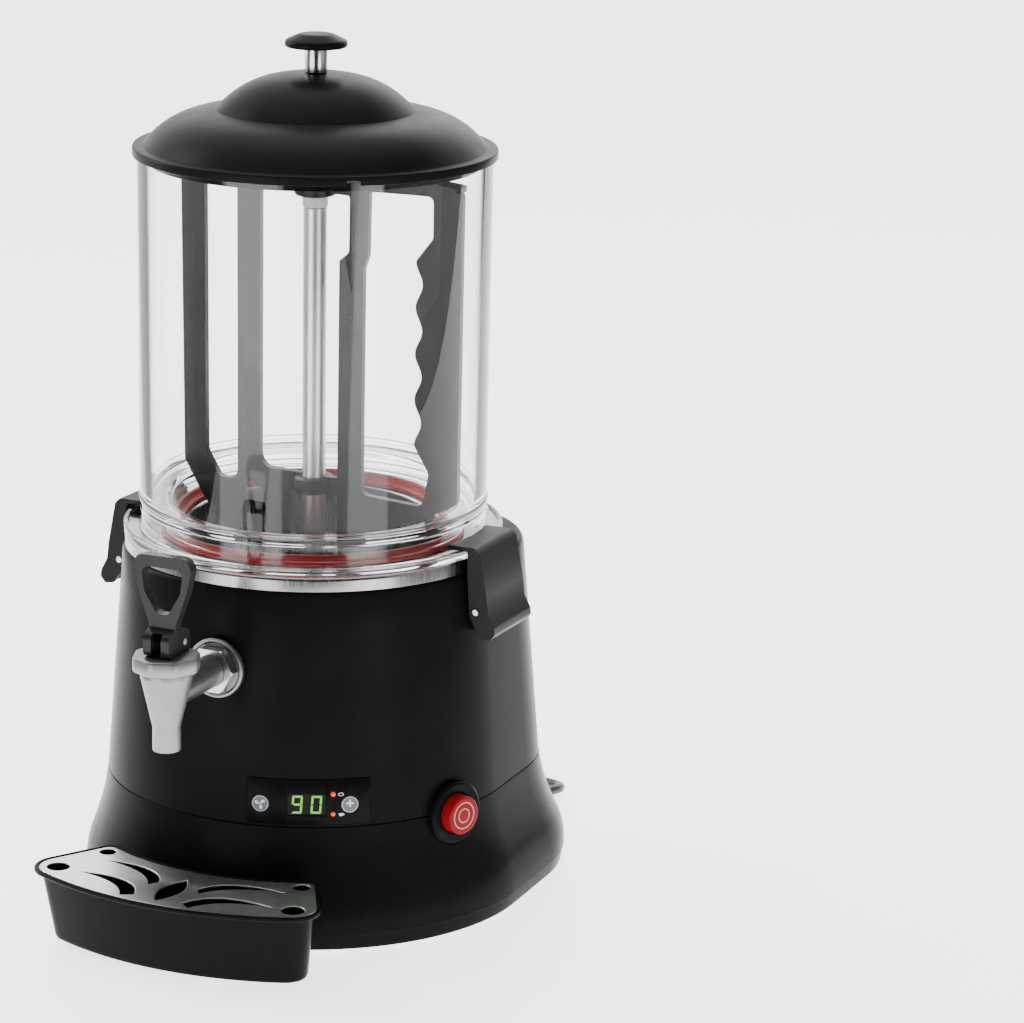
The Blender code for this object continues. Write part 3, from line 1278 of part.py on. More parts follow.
def tap_body():
    """The steel body: cone, spout and barrel, with its bores and valve seat."""
    cone = TAP_CONE_TOP_RADIUS
    collar = TAP_CONE_TOP_Z - HOUSING_WALL
    profile = [(0.0, TAP_CONE_TOP_Z), (cone, TAP_CONE_TOP_Z), (cone, collar),
               (TAP_CONE_BOTTOM_RADIUS, TAP_CONE_BOTTOM_Z), (TAP_SPOUT_RADIUS, TAP_CONE_BOTTOM_Z),
               (TAP_SPOUT_RADIUS, TAP_SPOUT_Z), (0.0, TAP_SPOUT_Z)]
    valve = at_tap(turned(profile, FINE_STEPS))
    barrel = rod(TAP_BARREL_RADIUS, (0.0, TAP_TAIL_Y, TAP_INLET_Z), (0.0, TAP_Y, TAP_INLET_Z))
    seat_low = TAP_SEAT_Z - TAP_SEAT_HEIGHT
    bores = [(0.0, TAP_CONE_TOP_Z + CUT_OVERRUN), (TAP_CHAMBER_RADIUS, TAP_CONE_TOP_Z + CUT_OVERRUN),
             (TAP_CHAMBER_RADIUS, TAP_SEAT_Z), (TAP_SEAT_RADIUS, TAP_SEAT_Z), (TAP_SEAT_RADIUS, seat_low),
             (TAP_SPOUT_BORE_RADIUS, seat_low - TAP_SEAT_HEIGHT / 2),
             (TAP_SPOUT_BORE_RADIUS, TAP_SPOUT_Z - CUT_OVERRUN), (0.0, TAP_SPOUT_Z - CUT_OVERRUN)]
    vertical = at_tap(turned(bores, SMALL_STEPS))
    inlet = rod(TAP_INLET_BORE_RADIUS, (0.0, TAP_TAIL_Y + CUT_OVERRUN, TAP_INLET_Z),
                (0.0, TAP_Y, TAP_INLET_Z))
    return cut(joined(valve, barrel), vertical, inlet)


def tap_wall_radius():
    """The distance at which a flange clears the leaning front of the housing."""
    return station(TAP_INLET_Z - TAP_FLANGE_RADIUS)[0]


def tap_flange():
    """The round steel flange against the housing, with a raised rim."""
    near = tap_wall_radius() + SEAT_GAP
    bore = TAP_BARREL_RADIUS + RUN_GAP
    rim = TAP_FLANGE_WALL / 2
    return along_inlet([(bore, near), (TAP_FLANGE_RADIUS, near), (TAP_FLANGE_RADIUS, near + TAP_FLANGE_WALL),
                        (TAP_FLANGE_RADIUS - rim, near + TAP_FLANGE_WALL),
                        (TAP_FLANGE_RADIUS - rim * 2, near + rim), (bore, near + rim)], FINE_STEPS)


def tap_hex_nut():
    """The nut outside the flange."""
    near = tap_wall_radius() + SEAT_GAP * 2 + TAP_FLANGE_WALL / 2
    return hexagon(TAP_HEX_RADIUS, TAP_BARREL_RADIUS + RUN_GAP, near, near + TAP_HEX_WALL)


def tap_lock_nut():
    """The nut inside the housing."""
    wall = station(TAP_INLET_Z + TAP_HEX_RADIUS)[0] - HOUSING_WALL
    far = math.sqrt(wall ** 2 - TAP_HEX_RADIUS ** 2) - SEAT_GAP
    return hexagon(TAP_HEX_RADIUS, TAP_BARREL_RADIUS + RUN_GAP, far - TAP_LOCK_NUT_WALL, far)


def bonnet_nut():
    """The eight-sided nut on top of the body, with a hole for the stem."""
    low = TAP_CONE_TOP_Z + SEAT_GAP
    high = BONNET_TOP_Z
    rings = []
    inset = BONNET_CHAMFER
    for radius, z in ((BONNET_RADIUS - inset, low), (BONNET_RADIUS, low + inset),
                      (BONNET_RADIUS, high - inset), (BONNET_RADIUS - inset, high)):
        turn = math.pi / BONNET_SIDE_COUNT
        ring = arc_points((0.0, 0.0), radius, turn, math.tau - turn, BONNET_SIDE_COUNT - 1)
        rings.append([(x, y, z) for x, y in ring])
    bore = rod(STEM_RADIUS + RUN_GAP, (0.0, 0.0, low - CUT_OVERRUN), (0.0, 0.0, high + CUT_OVERRUN))
    return at_tap(cut(lofted(rings), bore))


def stem_low():
    """The height of the stem's lower end."""
    return TAP_SEAT_Z + SEAT_CUP_HEIGHT + SEAT_GAP * 2


def stem_collar_top():
    """The top of the collar that the spring bears on."""
    return stem_low() + STEM_COLLAR_LIFT + STEM_COLLAR_HEIGHT


def tap_stem():
    """The valve stem: collar for the spring below, flat tongue with an eye above."""
    low = stem_low()
    collar_low = low + STEM_COLLAR_LIFT
    collar_top = stem_collar_top()
    tongue_low = BONNET_TOP_Z + STEM_TONGUE_GAP
    shank_top = tongue_low + STEM_RADIUS
    profile = [(0.0, low), (STEM_RADIUS, low), (STEM_RADIUS, collar_low), (STEM_COLLAR_RADIUS, collar_low),
               (STEM_COLLAR_RADIUS, collar_top), (STEM_RADIUS, collar_top), (STEM_RADIUS, shank_top),
               (0.0, shank_top)]
    shank = at_tap(turned(profile, SMALL_STEPS))
    eye = TONGUE_EYE_RADIUS
    outline = [(TAP_Y - STEM_RADIUS, tongue_low), (PIN_Y + eye, tongue_low)]
    outline += arc_points((PIN_Y, PIN_Z), eye, 0.0, TONGUE_EYE_SWEEP, CORNER_STEPS * 2)
    outline.append((TAP_Y - STEM_RADIUS, PIN_Z))
    tongue = plate([outline], -TONGUE_HALF_WALL, TONGUE_HALF_WALL, "YZ")
    hole = rod(TAP_PIN_RADIUS + RUN_GAP, (-FORK_HALF_WIDTH, PIN_Y, PIN_Z), (FORK_HALF_WIDTH, PIN_Y, PIN_Z))
    return cut(joined(shank, tongue), hole)


def tap_seat_cup():
    """The silicone cup that closes the valve seat."""
    low = TAP_SEAT_Z + SEAT_GAP
    edge = SEAT_CUP_HEIGHT / 4
    return at_tap(turned([(0.0, low), (SEAT_CUP_RADIUS - edge, low), (SEAT_CUP_RADIUS, low + edge),
                          (SEAT_CUP_RADIUS, low + SEAT_CUP_HEIGHT), (0.0, low + SEAT_CUP_HEIGHT)],
                         SMALL_STEPS))


def tap_spring():
    """The wire spring that pushes the stem down, as one unbroken helix."""
    wire = SPRING_WIRE_RADIUS
    low = stem_collar_top() + SEAT_GAP + wire
    high = TAP_CONE_TOP_Z - wire
    points = []
    count = SPRING_TURN_COUNT * SPRING_TURN_STEPS
    for index in range(count + 1):
        angle = math.tau * index / SPRING_TURN_STEPS
        points.append((SPRING_RADIUS * math.cos(angle), TAP_Y + SPRING_RADIUS * math.sin(angle),
                       low + (high - low) * index / count))
    least = least_self_gap(points, wire, SPRING_TURN_STEPS)
    print("tap spring: least gap to itself", round(least * MM_PER_METRE, 2), "mm")
    return tube_mesh(points, wire, 1)


def least_self_gap(points, radius, turn_steps):
    """The least gap between a tube and its own other turns, measured on its points."""
    least = float("inf")
    skip = turn_steps // 2
    for index, point in enumerate(points):
        for other in points[index + skip:]:
            least = min(least, (Vector(point) - Vector(other)).length)
    return least - 2 * radius


def tap_pin():
    """The pin that joins the handle to the stem."""
    reach = FORK_HALF_WIDTH + TAP_PIN_OVERHANG
    return rod(TAP_PIN_RADIUS, (-reach, PIN_Y, PIN_Z), (reach, PIN_Y, PIN_Z))


def tap_handle():
    """The handle: a forked heel on the nut, and a loop for a finger."""
    low = BONNET_TOP_Z + SEAT_GAP
    high = low + FORK_HEIGHT
    front = TAP_Y - FORK_HALF_DEPTH
    back = TAP_Y + FORK_HALF_DEPTH
    heel = FORK_HEEL_ROUND
    side = [(front, low, heel), (back, low, heel / 2), (back, high - heel, heel),
            (TAP_Y + LOOP_BACK_Y + RUN_GAP, high, 0.0), (TAP_Y + LOOP_FRONT_Y - RUN_GAP, high, 0.0),
            (front, high - heel, heel)]
    fork = plate([rounded_outline(side)], -FORK_HALF_WIDTH, FORK_HALF_WIDTH, "YZ")
    loop = plate([loop_outline(high), loop_hole(high)], TAP_Y + LOOP_FRONT_Y, TAP_Y + LOOP_BACK_Y, "XZ")
    slot_half = TONGUE_HALF_WALL + RUN_GAP * 2
    slot = block((-slot_half, front - CUT_OVERRUN, low - CUT_OVERRUN),
                 (slot_half, back + CUT_OVERRUN, high - FORK_ROOF))
    bore = rod(TAP_PIN_RADIUS + RUN_GAP, (-FORK_HALF_WIDTH - CUT_OVERRUN, PIN_Y, PIN_Z),
               (FORK_HALF_WIDTH + CUT_OVERRUN, PIN_Y, PIN_Z))
    return cut(joined(fork, loop), slot, bore)


# Loop outlines on the right half, as shares of its half width (x, radius) and its rise (z)
LOOP_EDGE_SHARES = ((0.46, 0.06, 0.23), (0.80, 0.48, 0.45), (1.0, 0.86, 0.30), (0.80, 1.0, 0.23))
LOOP_HOLE_SHARES = ((0.195, 0.19, 0.19), (0.61, 0.50, 0.35), (0.71, 0.84, 0.21))


def loop_outline(fork_top):
    """The loop's outer edge, from the fork out to its shoulders."""
    wide = LOOP_HALF_WIDTH
    rise = LOOP_TOP_Z - fork_top
    foot = fork_top - FORK_ROOF / 2
    right = [(FORK_HALF_WIDTH, foot, 0.0)]
    for across, up, radius in LOOP_EDGE_SHARES:
        right.append((wide * across, fork_top + rise * up, wide * radius))
    left = [(-x, z, radius) for x, z, radius in reversed(right)]
    return rounded_outline(right + left, CORNER_STEPS)


def loop_hole(fork_top):
    """The finger hole, narrow below and wide above."""
    wide = LOOP_HALF_WIDTH
    rise = LOOP_TOP_Z - fork_top
    right = []
    for across, up, radius in LOOP_HOLE_SHARES:
        right.append((wide * across, fork_top + rise * up, wide * radius))
    left = [(-x, z, radius) for x, z, radius in reversed(right)]
    return rounded_outline(right + left, CORNER_STEPS)


def outlet_elbow():
    """The moulded elbow from the pan's outlet to the tap's tail."""
    top = PAN_FLOOR_Z - PAN_WALL - SEAT_GAP
    bend_z = TAP_INLET_Z + ELBOW_BEND
    centre_y = OUTLET_Y - ELBOW_BEND
    path = [(OUTLET_Y, top, 0.0)]
    bends = CORNER_STEPS + 1
    for index in range(bends + 1):
        angle = math.pi / 2 * index / bends
        path.append((centre_y + ELBOW_BEND * math.cos(angle), bend_z - ELBOW_BEND * math.sin(angle), angle))
    path.append((TAP_TAIL_Y + SEAT_GAP, TAP_INLET_Z, math.pi / 2))
    outer = [elbow_ring(y, z, angle, ELBOW_RADIUS) for y, z, angle in path]
    inner = [elbow_ring(y, z, angle, ELBOW_BORE_RADIUS) for y, z, angle in reversed(path)]
    return lofted(outer + inner, looped=True)


def elbow_ring(y, z, angle, radius):
    """A circle square to the elbow's path: level at its top, upright at the tap."""
    ring = []
    for index in range(TUBE_STEPS):
        turn = math.tau * index / TUBE_STEPS
        across = radius * math.cos(turn)
        within = radius * math.sin(turn)
        ring.append((across, y + within * math.cos(angle), z - within * math.sin(angle)))
    return ring


# Drip tray

def sector_outline(inner, outer, half_angle, inner_corner, outer_corner, inset=0.0):
    """A ring sector with rounded corners, drawn in by an inset, always with the same count."""
    hub_out = outer - outer_corner
    hub_in = inner + inner_corner
    swing_out = half_angle - math.asin(outer_corner / hub_out)
    swing_in = half_angle - math.asin(inner_corner / hub_in)
    square = half_angle + math.pi / 2
    right = []
    for hub, swing, radius, start, end in (
            (hub_out, swing_out, outer_corner - inset, swing_out, square),
            (hub_in, swing_in, inner_corner - inset, square, math.pi + swing_in)):
        centre = polar(hub, swing)
        for index in range(CORNER_STEPS + 1):
            x, y = polar(radius, start + (end - start) * index / CORNER_STEPS)
            right.append((centre[0] + x, centre[1] + y))
    left = [(-x, y) for x, y in reversed(right)]
    middle_in = []
    middle_out = []
    for index in range(1, TRAY_ARC_STEPS):
        share = 1 - 2 * index / TRAY_ARC_STEPS
        middle_in.append(polar(inner + inset, swing_in * share))
        middle_out.append(polar(outer - inset, -swing_out * share))
    return right + middle_in + left + middle_out


def tray_outline(inset, foot=0.0):
    """The tray's outline; a foot amount draws its outer side and ends in, as lower down."""
    return sector_outline(TRAY_INNER_RADIUS, TRAY_OUTER_RADIUS - foot,
                          TRAY_HALF_ANGLE - foot / 2 / TRAY_OUTER_RADIUS,
                          TRAY_INNER_CORNER, TRAY_OUTER_CORNER, inset)


def drip_tray():
    """The tray: tapered walls, an overhanging rim, a ledge for the grate and a tongue."""
    rim = TRAY_RIM_Z
    hang = TRAY_RIM_OVERHANG
    ledge_z = rim - GRATE_RECESS - GRATE_WALL - SEAT_GAP
    levels = [
        (TRAY_RIM_WIDTH, 0.0, rim), (0.0, 0.0, rim), (0.0, 0.0, rim - TRAY_RIM_HEIGHT),
        (hang, 0.0, rim - TRAY_RIM_HEIGHT), (hang, TRAY_FOOT_TAPER, TRAY_FLOOR_Z + TRAY_WALL),
        (hang + TRAY_WALL / 2, TRAY_FOOT_TAPER, TRAY_FLOOR_Z),
        (hang + TRAY_WALL, TRAY_FOOT_TAPER, TRAY_FLOOR_Z + TRAY_WALL),
        (hang + TRAY_WALL, 0.0, ledge_z), (TRAY_RIM_WIDTH, 0.0, ledge_z)]
    rings = []
    for inset, foot_in, z in levels:
        rings.append([(x, y, z) for x, y in tray_outline(inset, foot_in)])
    outer = rings[5:0:-1] + rings[0:1]
    inner = rings[8:5:-1]
    shell = lofted(outer + inner)
    reach = TRAY_INNER_RADIUS + hang + TRAY_WALL
    tongue = block((-TRAY_TONGUE_HALF_WIDTH, -reach, TRAY_FLOOR_Z),
                   (TRAY_TONGUE_HALF_WIDTH, -TRAY_INNER_RADIUS + TRAY_TONGUE_LENGTH,
                    TRAY_FLOOR_Z + TRAY_TONGUE_WALL))
    return joined(shell, tongue)


# Grate holes on the right half: bearings as shares of the tray's half angle, then shares of its depth
SMALL_HOLE_SHARES = (0.863, 0.171, 0.079)
LARGE_HOLE_SHARES = (0.828, 0.767, 0.109)
INNER_SLOT_SHARES = ((0.737, 0.313), (0.289, 0.079), (0.151, 0.421), (0.187, 0.526), (0.34, 0.234))
OUTER_SLOT_SHARES = ((0.687, 0.699), (0.283, 0.412), (0.159, 0.816), (0.223, 0.897), (0.345, 0.601))
LEAF_TIP_SHARES = (0.851, 0.257)
LEAF_BULGE_SHARE = 0.214


def grate_point(bearing, depth, side=1):
    """A place on the grate from its shares."""
    return polar(TRAY_INNER_RADIUS + depth * TRAY_DEPTH, side * bearing * TRAY_HALF_ANGLE)


def grate_slot(shares, side):
    """A crescent slot: two curves from its tip to its blunt end."""
    tip, upper, blunt_in, blunt_out, lower = [grate_point(*share, side) for share in shares]
    points = bezier_points(tip, upper, blunt_in, SLOT_STEPS) + [blunt_in]
    return points + bezier_points(blunt_out, lower, tip, SLOT_STEPS)


def grate_leaf():
    """The leaf-shaped slot in the middle of the grate."""
    front = grate_point(0.0, LEAF_TIP_SHARES[0])
    rear = grate_point(0.0, LEAF_TIP_SHARES[1])
    middle = (front[1] + rear[1]) / 2
    bulge = LEAF_BULGE_SHARE * TRAY_DEPTH
    return (bezier_points(front, (bulge, middle), rear, SLOT_STEPS)
            + bezier_points(rear, (-bulge, middle), front, SLOT_STEPS))


def drip_grate():
    """The steel grate, with round holes, crescents and a leaf."""
    high = TRAY_RIM_Z - GRATE_RECESS
    outlines = [tray_outline(TRAY_RIM_WIDTH + RUN_GAP), grate_leaf()]
    for side in (-1, 1):
        for bearing, depth, radius in (SMALL_HOLE_SHARES, LARGE_HOLE_SHARES):
            centre = grate_point(bearing, depth, side)
            outlines.append(circle_points(centre, radius * TRAY_DEPTH, SMALL_STEPS * 2 // 3))
        outlines.append(grate_slot(INNER_SLOT_SHARES, side))
        outlines.append(grate_slot(OUTER_SLOT_SHARES, side))
    return plate(outlines, high - GRATE_WALL, high)


# Panel, switch

def panel_key(side):
    """A round key in the panel."""
    out = station(KEY_Z)[0] + PANEL_PROUD + KEY_PROUD
    return key_rod(KEY_RADIUS, out - KEY_LENGTH, out, side)


def key_origin(side):
    """The point of the panel's surface under a key."""
    x, y = polar(station(KEY_Z)[0], panel_frame(KEY_MIDDLE_ARC + side * KEY_ARC))
    return (x, y, KEY_Z)


def board_front():
    """The distance of the circuit board's face, where its ends meet the housing's wall."""
    wall = station(KEY_Z + BOARD_HALF_HEIGHT)[0] - HOUSING_WALL
    return math.sqrt(wall ** 2 - BOARD_HALF_WIDTH ** 2) - SEAT_GAP * 2


def display_module():
    """The display block on the circuit board, flush behind the panel's face."""
    return display_box(0.0, board_front() + SEAT_GAP, station(KEY_Z)[0] - RUN_GAP)


def panel_led(z):
    """A lamp on the circuit board that shows through the panel."""
    turn = panel_frame(LED_ARC) - PANEL_ANGLE
    near = board_front() / math.cos(turn) + LED_RADIUS * math.tan(turn) + SEAT_GAP
    return led_rod(LED_RADIUS, near, station(z)[0] + PANEL_PROUD + RUN_GAP, z)


def circuit_board():
    """The board behind the panel."""
    front = board_front()
    mesh = block((-BOARD_HALF_WIDTH, -BOARD_HALF_HEIGHT, front - BOARD_WALL),
                 (BOARD_HALF_WIDTH, BOARD_HALF_HEIGHT, front))
    return moved(mesh, facing(PANEL_ANGLE, KEY_Z))


def switch_bezel():
    """The round switch body, with a raised lip."""
    seat = SEAM_RADIUS + RUN_GAP + SEAT_GAP
    bore = BUTTON_RADIUS + RUN_GAP
    face = seat + BEZEL_WALL
    lip = BEZEL_LIP
    back = seat - BEZEL_DEPTH + RUN_GAP * 2
    profile = [(0.0, back), (BEZEL_BARREL_RADIUS, back), (BEZEL_BARREL_RADIUS, seat), (BEZEL_RADIUS, seat),
               (BEZEL_RADIUS, face - lip), (BEZEL_RADIUS - lip, face), (bore + lip, face - lip / 2),
               (bore, face - lip), (bore, back + HOUSING_WALL), (0.0, back + HOUSING_WALL)]
    return moved(turned(profile, FINE_STEPS), facing(SWITCH_ANGLE, SWITCH_Z))


def switch_button():
    """The round push button, ringed on its face."""
    face = SEAM_RADIUS + RUN_GAP + SEAT_GAP + BEZEL_WALL + BUTTON_PROUD
    floor = SEAM_RADIUS + SEAT_GAP - BEZEL_DEPTH + RUN_GAP * 3 + HOUSING_WALL
    back = floor + SWITCH_TRAVEL + RUN_GAP
    edge = BUTTON_RING_DEPTH
    profile = [(0.0, back), (BUTTON_RADIUS, back), (BUTTON_RADIUS, face - edge * 2),
               (BUTTON_RADIUS - edge * 2, face)]
    for share in reversed(BUTTON_RING_SHARES):
        middle = BUTTON_RADIUS * share
        half = BUTTON_RING_WIDTH / 2
        profile += [(middle + half, face), (middle + half / 2, face - edge),
                    (middle - half / 2, face - edge), (middle - half, face)]
    profile.append((0.0, face))
    return moved(turned(profile, FINE_STEPS), facing(SWITCH_ANGLE, SWITCH_Z))


# Cord

def coil_centre():
    """The middle of the coil, behind the machine."""
    rear = BASE_CORNER_Y + corner_radius(BASE_RADIUS, BASE_CORNER_X, BASE_CORNER_Y)
    return Vector((COIL_CENTRE_X, rear + COIL_REAR_DISTANCE, CORD_RADIUS + CORD_FLOOR_GAP))


def coil_points():
    """The coil's line: spiralling in on the floor, climbing a layer, and out again above."""
    centre = coil_centre()
    points = []
    count = round(COIL_TURN_COUNT * COIL_TURN_STEPS)
    for index in range(count + 1):
        turn = COIL_TURN_COUNT * index / count
        if turn < COIL_REVERSE_TURN:
            share = turn / COIL_REVERSE_TURN
        else:
            share = (COIL_TURN_COUNT - turn) / (COIL_TURN_COUNT - COIL_REVERSE_TURN)
        radius = COIL_OUTER_RADIUS + (COIL_INNER_RADIUS - COIL_OUTER_RADIUS) * share
        climb = min(max((turn - COIL_REVERSE_TURN) / COIL_CLIMB_TURNS + 1 / 2, 0.0), 1.0)
        climb = climb * climb * (3 - 2 * climb)
        angle = -math.pi / 2 - math.tau * turn
        points.append(centre + Vector((radius * math.cos(angle), radius * math.sin(angle),
                                       COIL_LAYER_STEP * climb)))
    return points


def coil_line():
    """The coil's line with its straight ends: one diameter in, and a tail to the plug."""
    points = coil_points()
    straight = CORD_RADIUS * 2
    start = Vector((1.0, 0.0, 0.0))
    end = Vector((0.0, 1.0, 0.0))
    return [points[0] + start * straight] + points + [points[-1] + end * COIL_TAIL]


def cord_coil():
    """The stored length of the cord, as one unbroken coiled tube."""
    line = coil_line()
    least = least_self_gap(line, CORD_RADIUS, COIL_TURN_STEPS)
    print("cord coil: least gap to itself", round(least * MM_PER_METRE, 2), "mm")
    return tube_mesh(line, CORD_RADIUS, 1)


def power_cord():
    """The cord's free stretch, from the strain relief to the coil."""
    start = gland_frame() @ Vector((0.0, 0.0, GLAND_LENGTH))
    end = coil_line()[0] + Vector((SEAT_GAP, 0.0, 0.0))
    last = len(CORD_ROUTE) - 1
    start_shift = start - Vector(CORD_ROUTE[0])
    end_shift = end - Vector(CORD_ROUTE[last])
    route = []
    for index, point in enumerate(CORD_ROUTE):
        route.append(Vector(point) + start_shift.lerp(end_shift, index / last))
    line = smooth_route(route, CORD_ROUTE_POINTS)
    return tube_mesh(line, CORD_RADIUS, CORD_BEVEL_STEPS)


def mains_plug():
    """The angled plug, lying on its back with its pins up."""
    end = coil_line()[-1]
    centre_y = end.y + SEAT_GAP + PLUG_NECK_LENGTH + PLUG_RADIUS
    low = CORD_FLOOR_GAP
    high = low + PLUG_HEIGHT
    edge = PLUG_EDGE
    body = turned([(0.0, low), (PLUG_RADIUS - edge, low), (PLUG_RADIUS, low + edge),
                   (PLUG_RADIUS, high - edge), (PLUG_RADIUS - edge, high), (0.0, high)], FINE_STEPS)
    body.transform(Matrix.Translation((end.x, centre_y, 0.0)))
    neck = rod(PLUG_NECK_RADIUS, (end.x, end.y + SEAT_GAP, end.z), (end.x, centre_y, end.z))
    pins = []
    for side in (-1, 1):
        y = centre_y + side * PLUG_PIN_SPACING / 2
        pins.append(rod(PLUG_PIN_RADIUS, (end.x, y, high - edge), (end.x, y, high + PLUG_PIN_LENGTH)))
    return joined(body, neck, *pins)


def build():
    """Makes every sub-part, group by group."""
    machine = Machine()
    add = machine.add

    add("base_skirt", base_skirt(), "black_plastic")
    add("base_plate", base_plate(), "zinc_steel")
    add("upper_housing", upper_housing(), "black_plastic")
    for end, y in (("front", FOOT_FRONT_Y), ("rear", FOOT_REAR_Y)):
        for side, x in (("left", -FOOT_X), ("right", FOOT_X)):
            piece = add("foot_" + end + "_" + side, foot(), "rubber")
            piece.location = (x, y, 0.0)

    add("heating_pan", heating_pan(), "brushed_steel")
    add("bowl_seal", bowl_seal(), "red_silicone")
    add("bowl", bowl(), "clear_plastic")
    add("lid", lid(), "lid_plastic")
    add("lid_knob_stem", knob_stem(), "steel")
    add("lid_knob", knob(), "lid_plastic")
    add("lid_screw", lid_screw(), "zinc_steel")

    add("column_tube", column_tube(), "steel")
    add("column_bush", column_bush(), "white_bush")
    add("drive_shaft", drive_shaft(), "steel")
    add("agitator", agitator(), "agitator_plastic")
    add("gear_motor", gear_motor(), "zinc_steel")
    add("motor_bracket", motor_bracket(), "zinc_steel")
    add("heater_element", heater_element(), "brushed_steel")
    add("thermostat", thermostat(), "zinc_steel")

    for name, side in (("left", -1), ("right", 1)):
        pin = (side * LATCH_PIN_X, 0.0, LATCH_PIN_Z)
        add("latch_" + name, latch(side), "black_plastic", pin)
        add("latch_bracket_" + name, latch_bracket(side), "black_plastic")
        add("latch_pin_" + name, latch_pin(side), "steel")

    add("tap_body", tap_body(), "steel")
    add("tap_flange", tap_flange(), "steel")
    add("tap_hex_nut", tap_hex_nut(), "steel")
    add("tap_lock_nut", tap_lock_nut(), "steel")
    add("tap_bonnet_nut", bonnet_nut(), "steel")
    add("tap_stem", tap_stem(), "steel", (0.0, TAP_Y, BONNET_TOP_Z))
    add("tap_seat_cup", tap_seat_cup(), "red_silicone")
    add("tap_spring", tap_spring(), "zinc_steel")
    add("tap_pivot_pin", tap_pin(), "steel", (0.0, PIN_Y, PIN_Z))
    add("tap_handle", tap_handle(), "black_plastic", (0.0, PIN_Y, PIN_Z))
    add("outlet_elbow", outlet_elbow(), "rubber")

    add("drip_tray", drip_tray(), "black_plastic")
    add("drip_grate", drip_grate(), "brushed_steel")

    add("control_panel", control_panel(), "panel_film")
    add("display_module", display_module(), "green_display")
    add("circuit_board", circuit_board(), "green_board")
    for name, side in (("key_left", -1), ("key_right", 1)):
        add(name, panel_key(side), "grey_key", key_origin(side))
    for name, z in zip(("led_upper", "led_lower"), led_levels()):
        add(name, panel_led(z), "red_lens")

    add("switch_bezel", switch_bezel(), "soft_black")
    x, y = polar(SEAM_RADIUS, SWITCH_ANGLE)
    add("switch_button", switch_button(), "red_lens", (x, y, SWITCH_Z))

    add("cord_gland", cord_gland(), "cord_rubber")
    add("power_cord", power_cord(), "cord_rubber")
    add("cord_coil", cord_coil(), "cord_rubber")
    add("mains_plug", mains_plug(), "cord_rubber")


build()
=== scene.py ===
"""Looks of the hot chocolate dispenser: finished pieces, materials, light and camera.

Lengths are millimetres from the bowl's axis, +Z up and the front towards -Y. Bearings are degrees
from the front, growing to the right. Camera, lights and floor alone are in metres.
"""
from math import asin, atan2, cos, degrees, hypot, pi, radians, sin, tan, tau

import bmesh
import bpy
from mathutils import Matrix, Vector


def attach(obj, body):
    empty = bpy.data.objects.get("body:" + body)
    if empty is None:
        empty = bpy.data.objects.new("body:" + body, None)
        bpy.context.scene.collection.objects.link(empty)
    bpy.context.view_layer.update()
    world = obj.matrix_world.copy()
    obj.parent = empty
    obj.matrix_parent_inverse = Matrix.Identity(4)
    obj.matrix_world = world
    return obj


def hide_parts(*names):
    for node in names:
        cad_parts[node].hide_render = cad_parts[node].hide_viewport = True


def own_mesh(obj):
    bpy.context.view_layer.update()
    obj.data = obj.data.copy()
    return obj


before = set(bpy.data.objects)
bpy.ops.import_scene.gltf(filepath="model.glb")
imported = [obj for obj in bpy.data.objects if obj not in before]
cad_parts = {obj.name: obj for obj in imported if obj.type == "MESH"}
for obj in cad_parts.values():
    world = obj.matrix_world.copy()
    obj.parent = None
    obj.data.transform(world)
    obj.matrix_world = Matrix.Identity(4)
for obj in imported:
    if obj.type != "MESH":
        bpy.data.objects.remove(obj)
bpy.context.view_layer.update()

MM = 0.001
AXIS_Y = 0.023320919
SHARP = radians(32)

# Camera, fitted to the photo
CAMERA_PLACE = (1.17252, -2.2195, 0.9366)
CAMERA_TURN = (75.0527, -1.0737, 24.8533)
CAMERA_LENS = 136.296

# Housing: height, front radius and the rear corners' centre, at the top, the seam and the floor
TOP = (239, 128.2, 28, 43)
SEAM = (83, 139, 31, 51)
BASE = (3, 154.5, 36, 62)
# Share of the depth below the seam, and share of the flare reached there
FLARE = ((0, 0), (0.17, 0.14), (0.34, 0.34), (0.49, 0.58), (0.63, 0.84), (0.74, 0.97),
        (0.84, 1), (1, 0.98))
# Lean of the straight sides towards the rear
TAPER = radians(2)

# Front: radius of the curved face at the panel, bearings, heights and distances along the face
FACE_RADIUS = 137.93
PANEL_BEARING = 26.7
PANEL_LEVEL = 98.5
DISPLAY_SIDE = -1.3
LAMP_SIDE = 16.1
MARK_SIDE = 21.2
LAMPS = (("upper", 105.25), ("lower", 91.75))
KEYS = (("left", 13.6147), ("right", 37.8744))
KEY_TOP = 139.33
SWITCH_BEARING = 69.5
SWITCH_LEVEL = 82
SWITCH_TOP = 150.6
TAP_LEVEL = 186
TAP_Y = -199.5


# Outlines

def arc(centre, radius, start, end, steps):
    """Points on an arc, both ends with it."""
    return [(centre[0] + radius * cos(start + (end - start) * i / steps),
            centre[1] + radius * sin(start + (end - start) * i / steps)) for i in range(steps + 1)]


def circle(centre, radius, steps):
    return arc(centre, radius, 0, tau * (steps - 1) / steps, steps - 1)


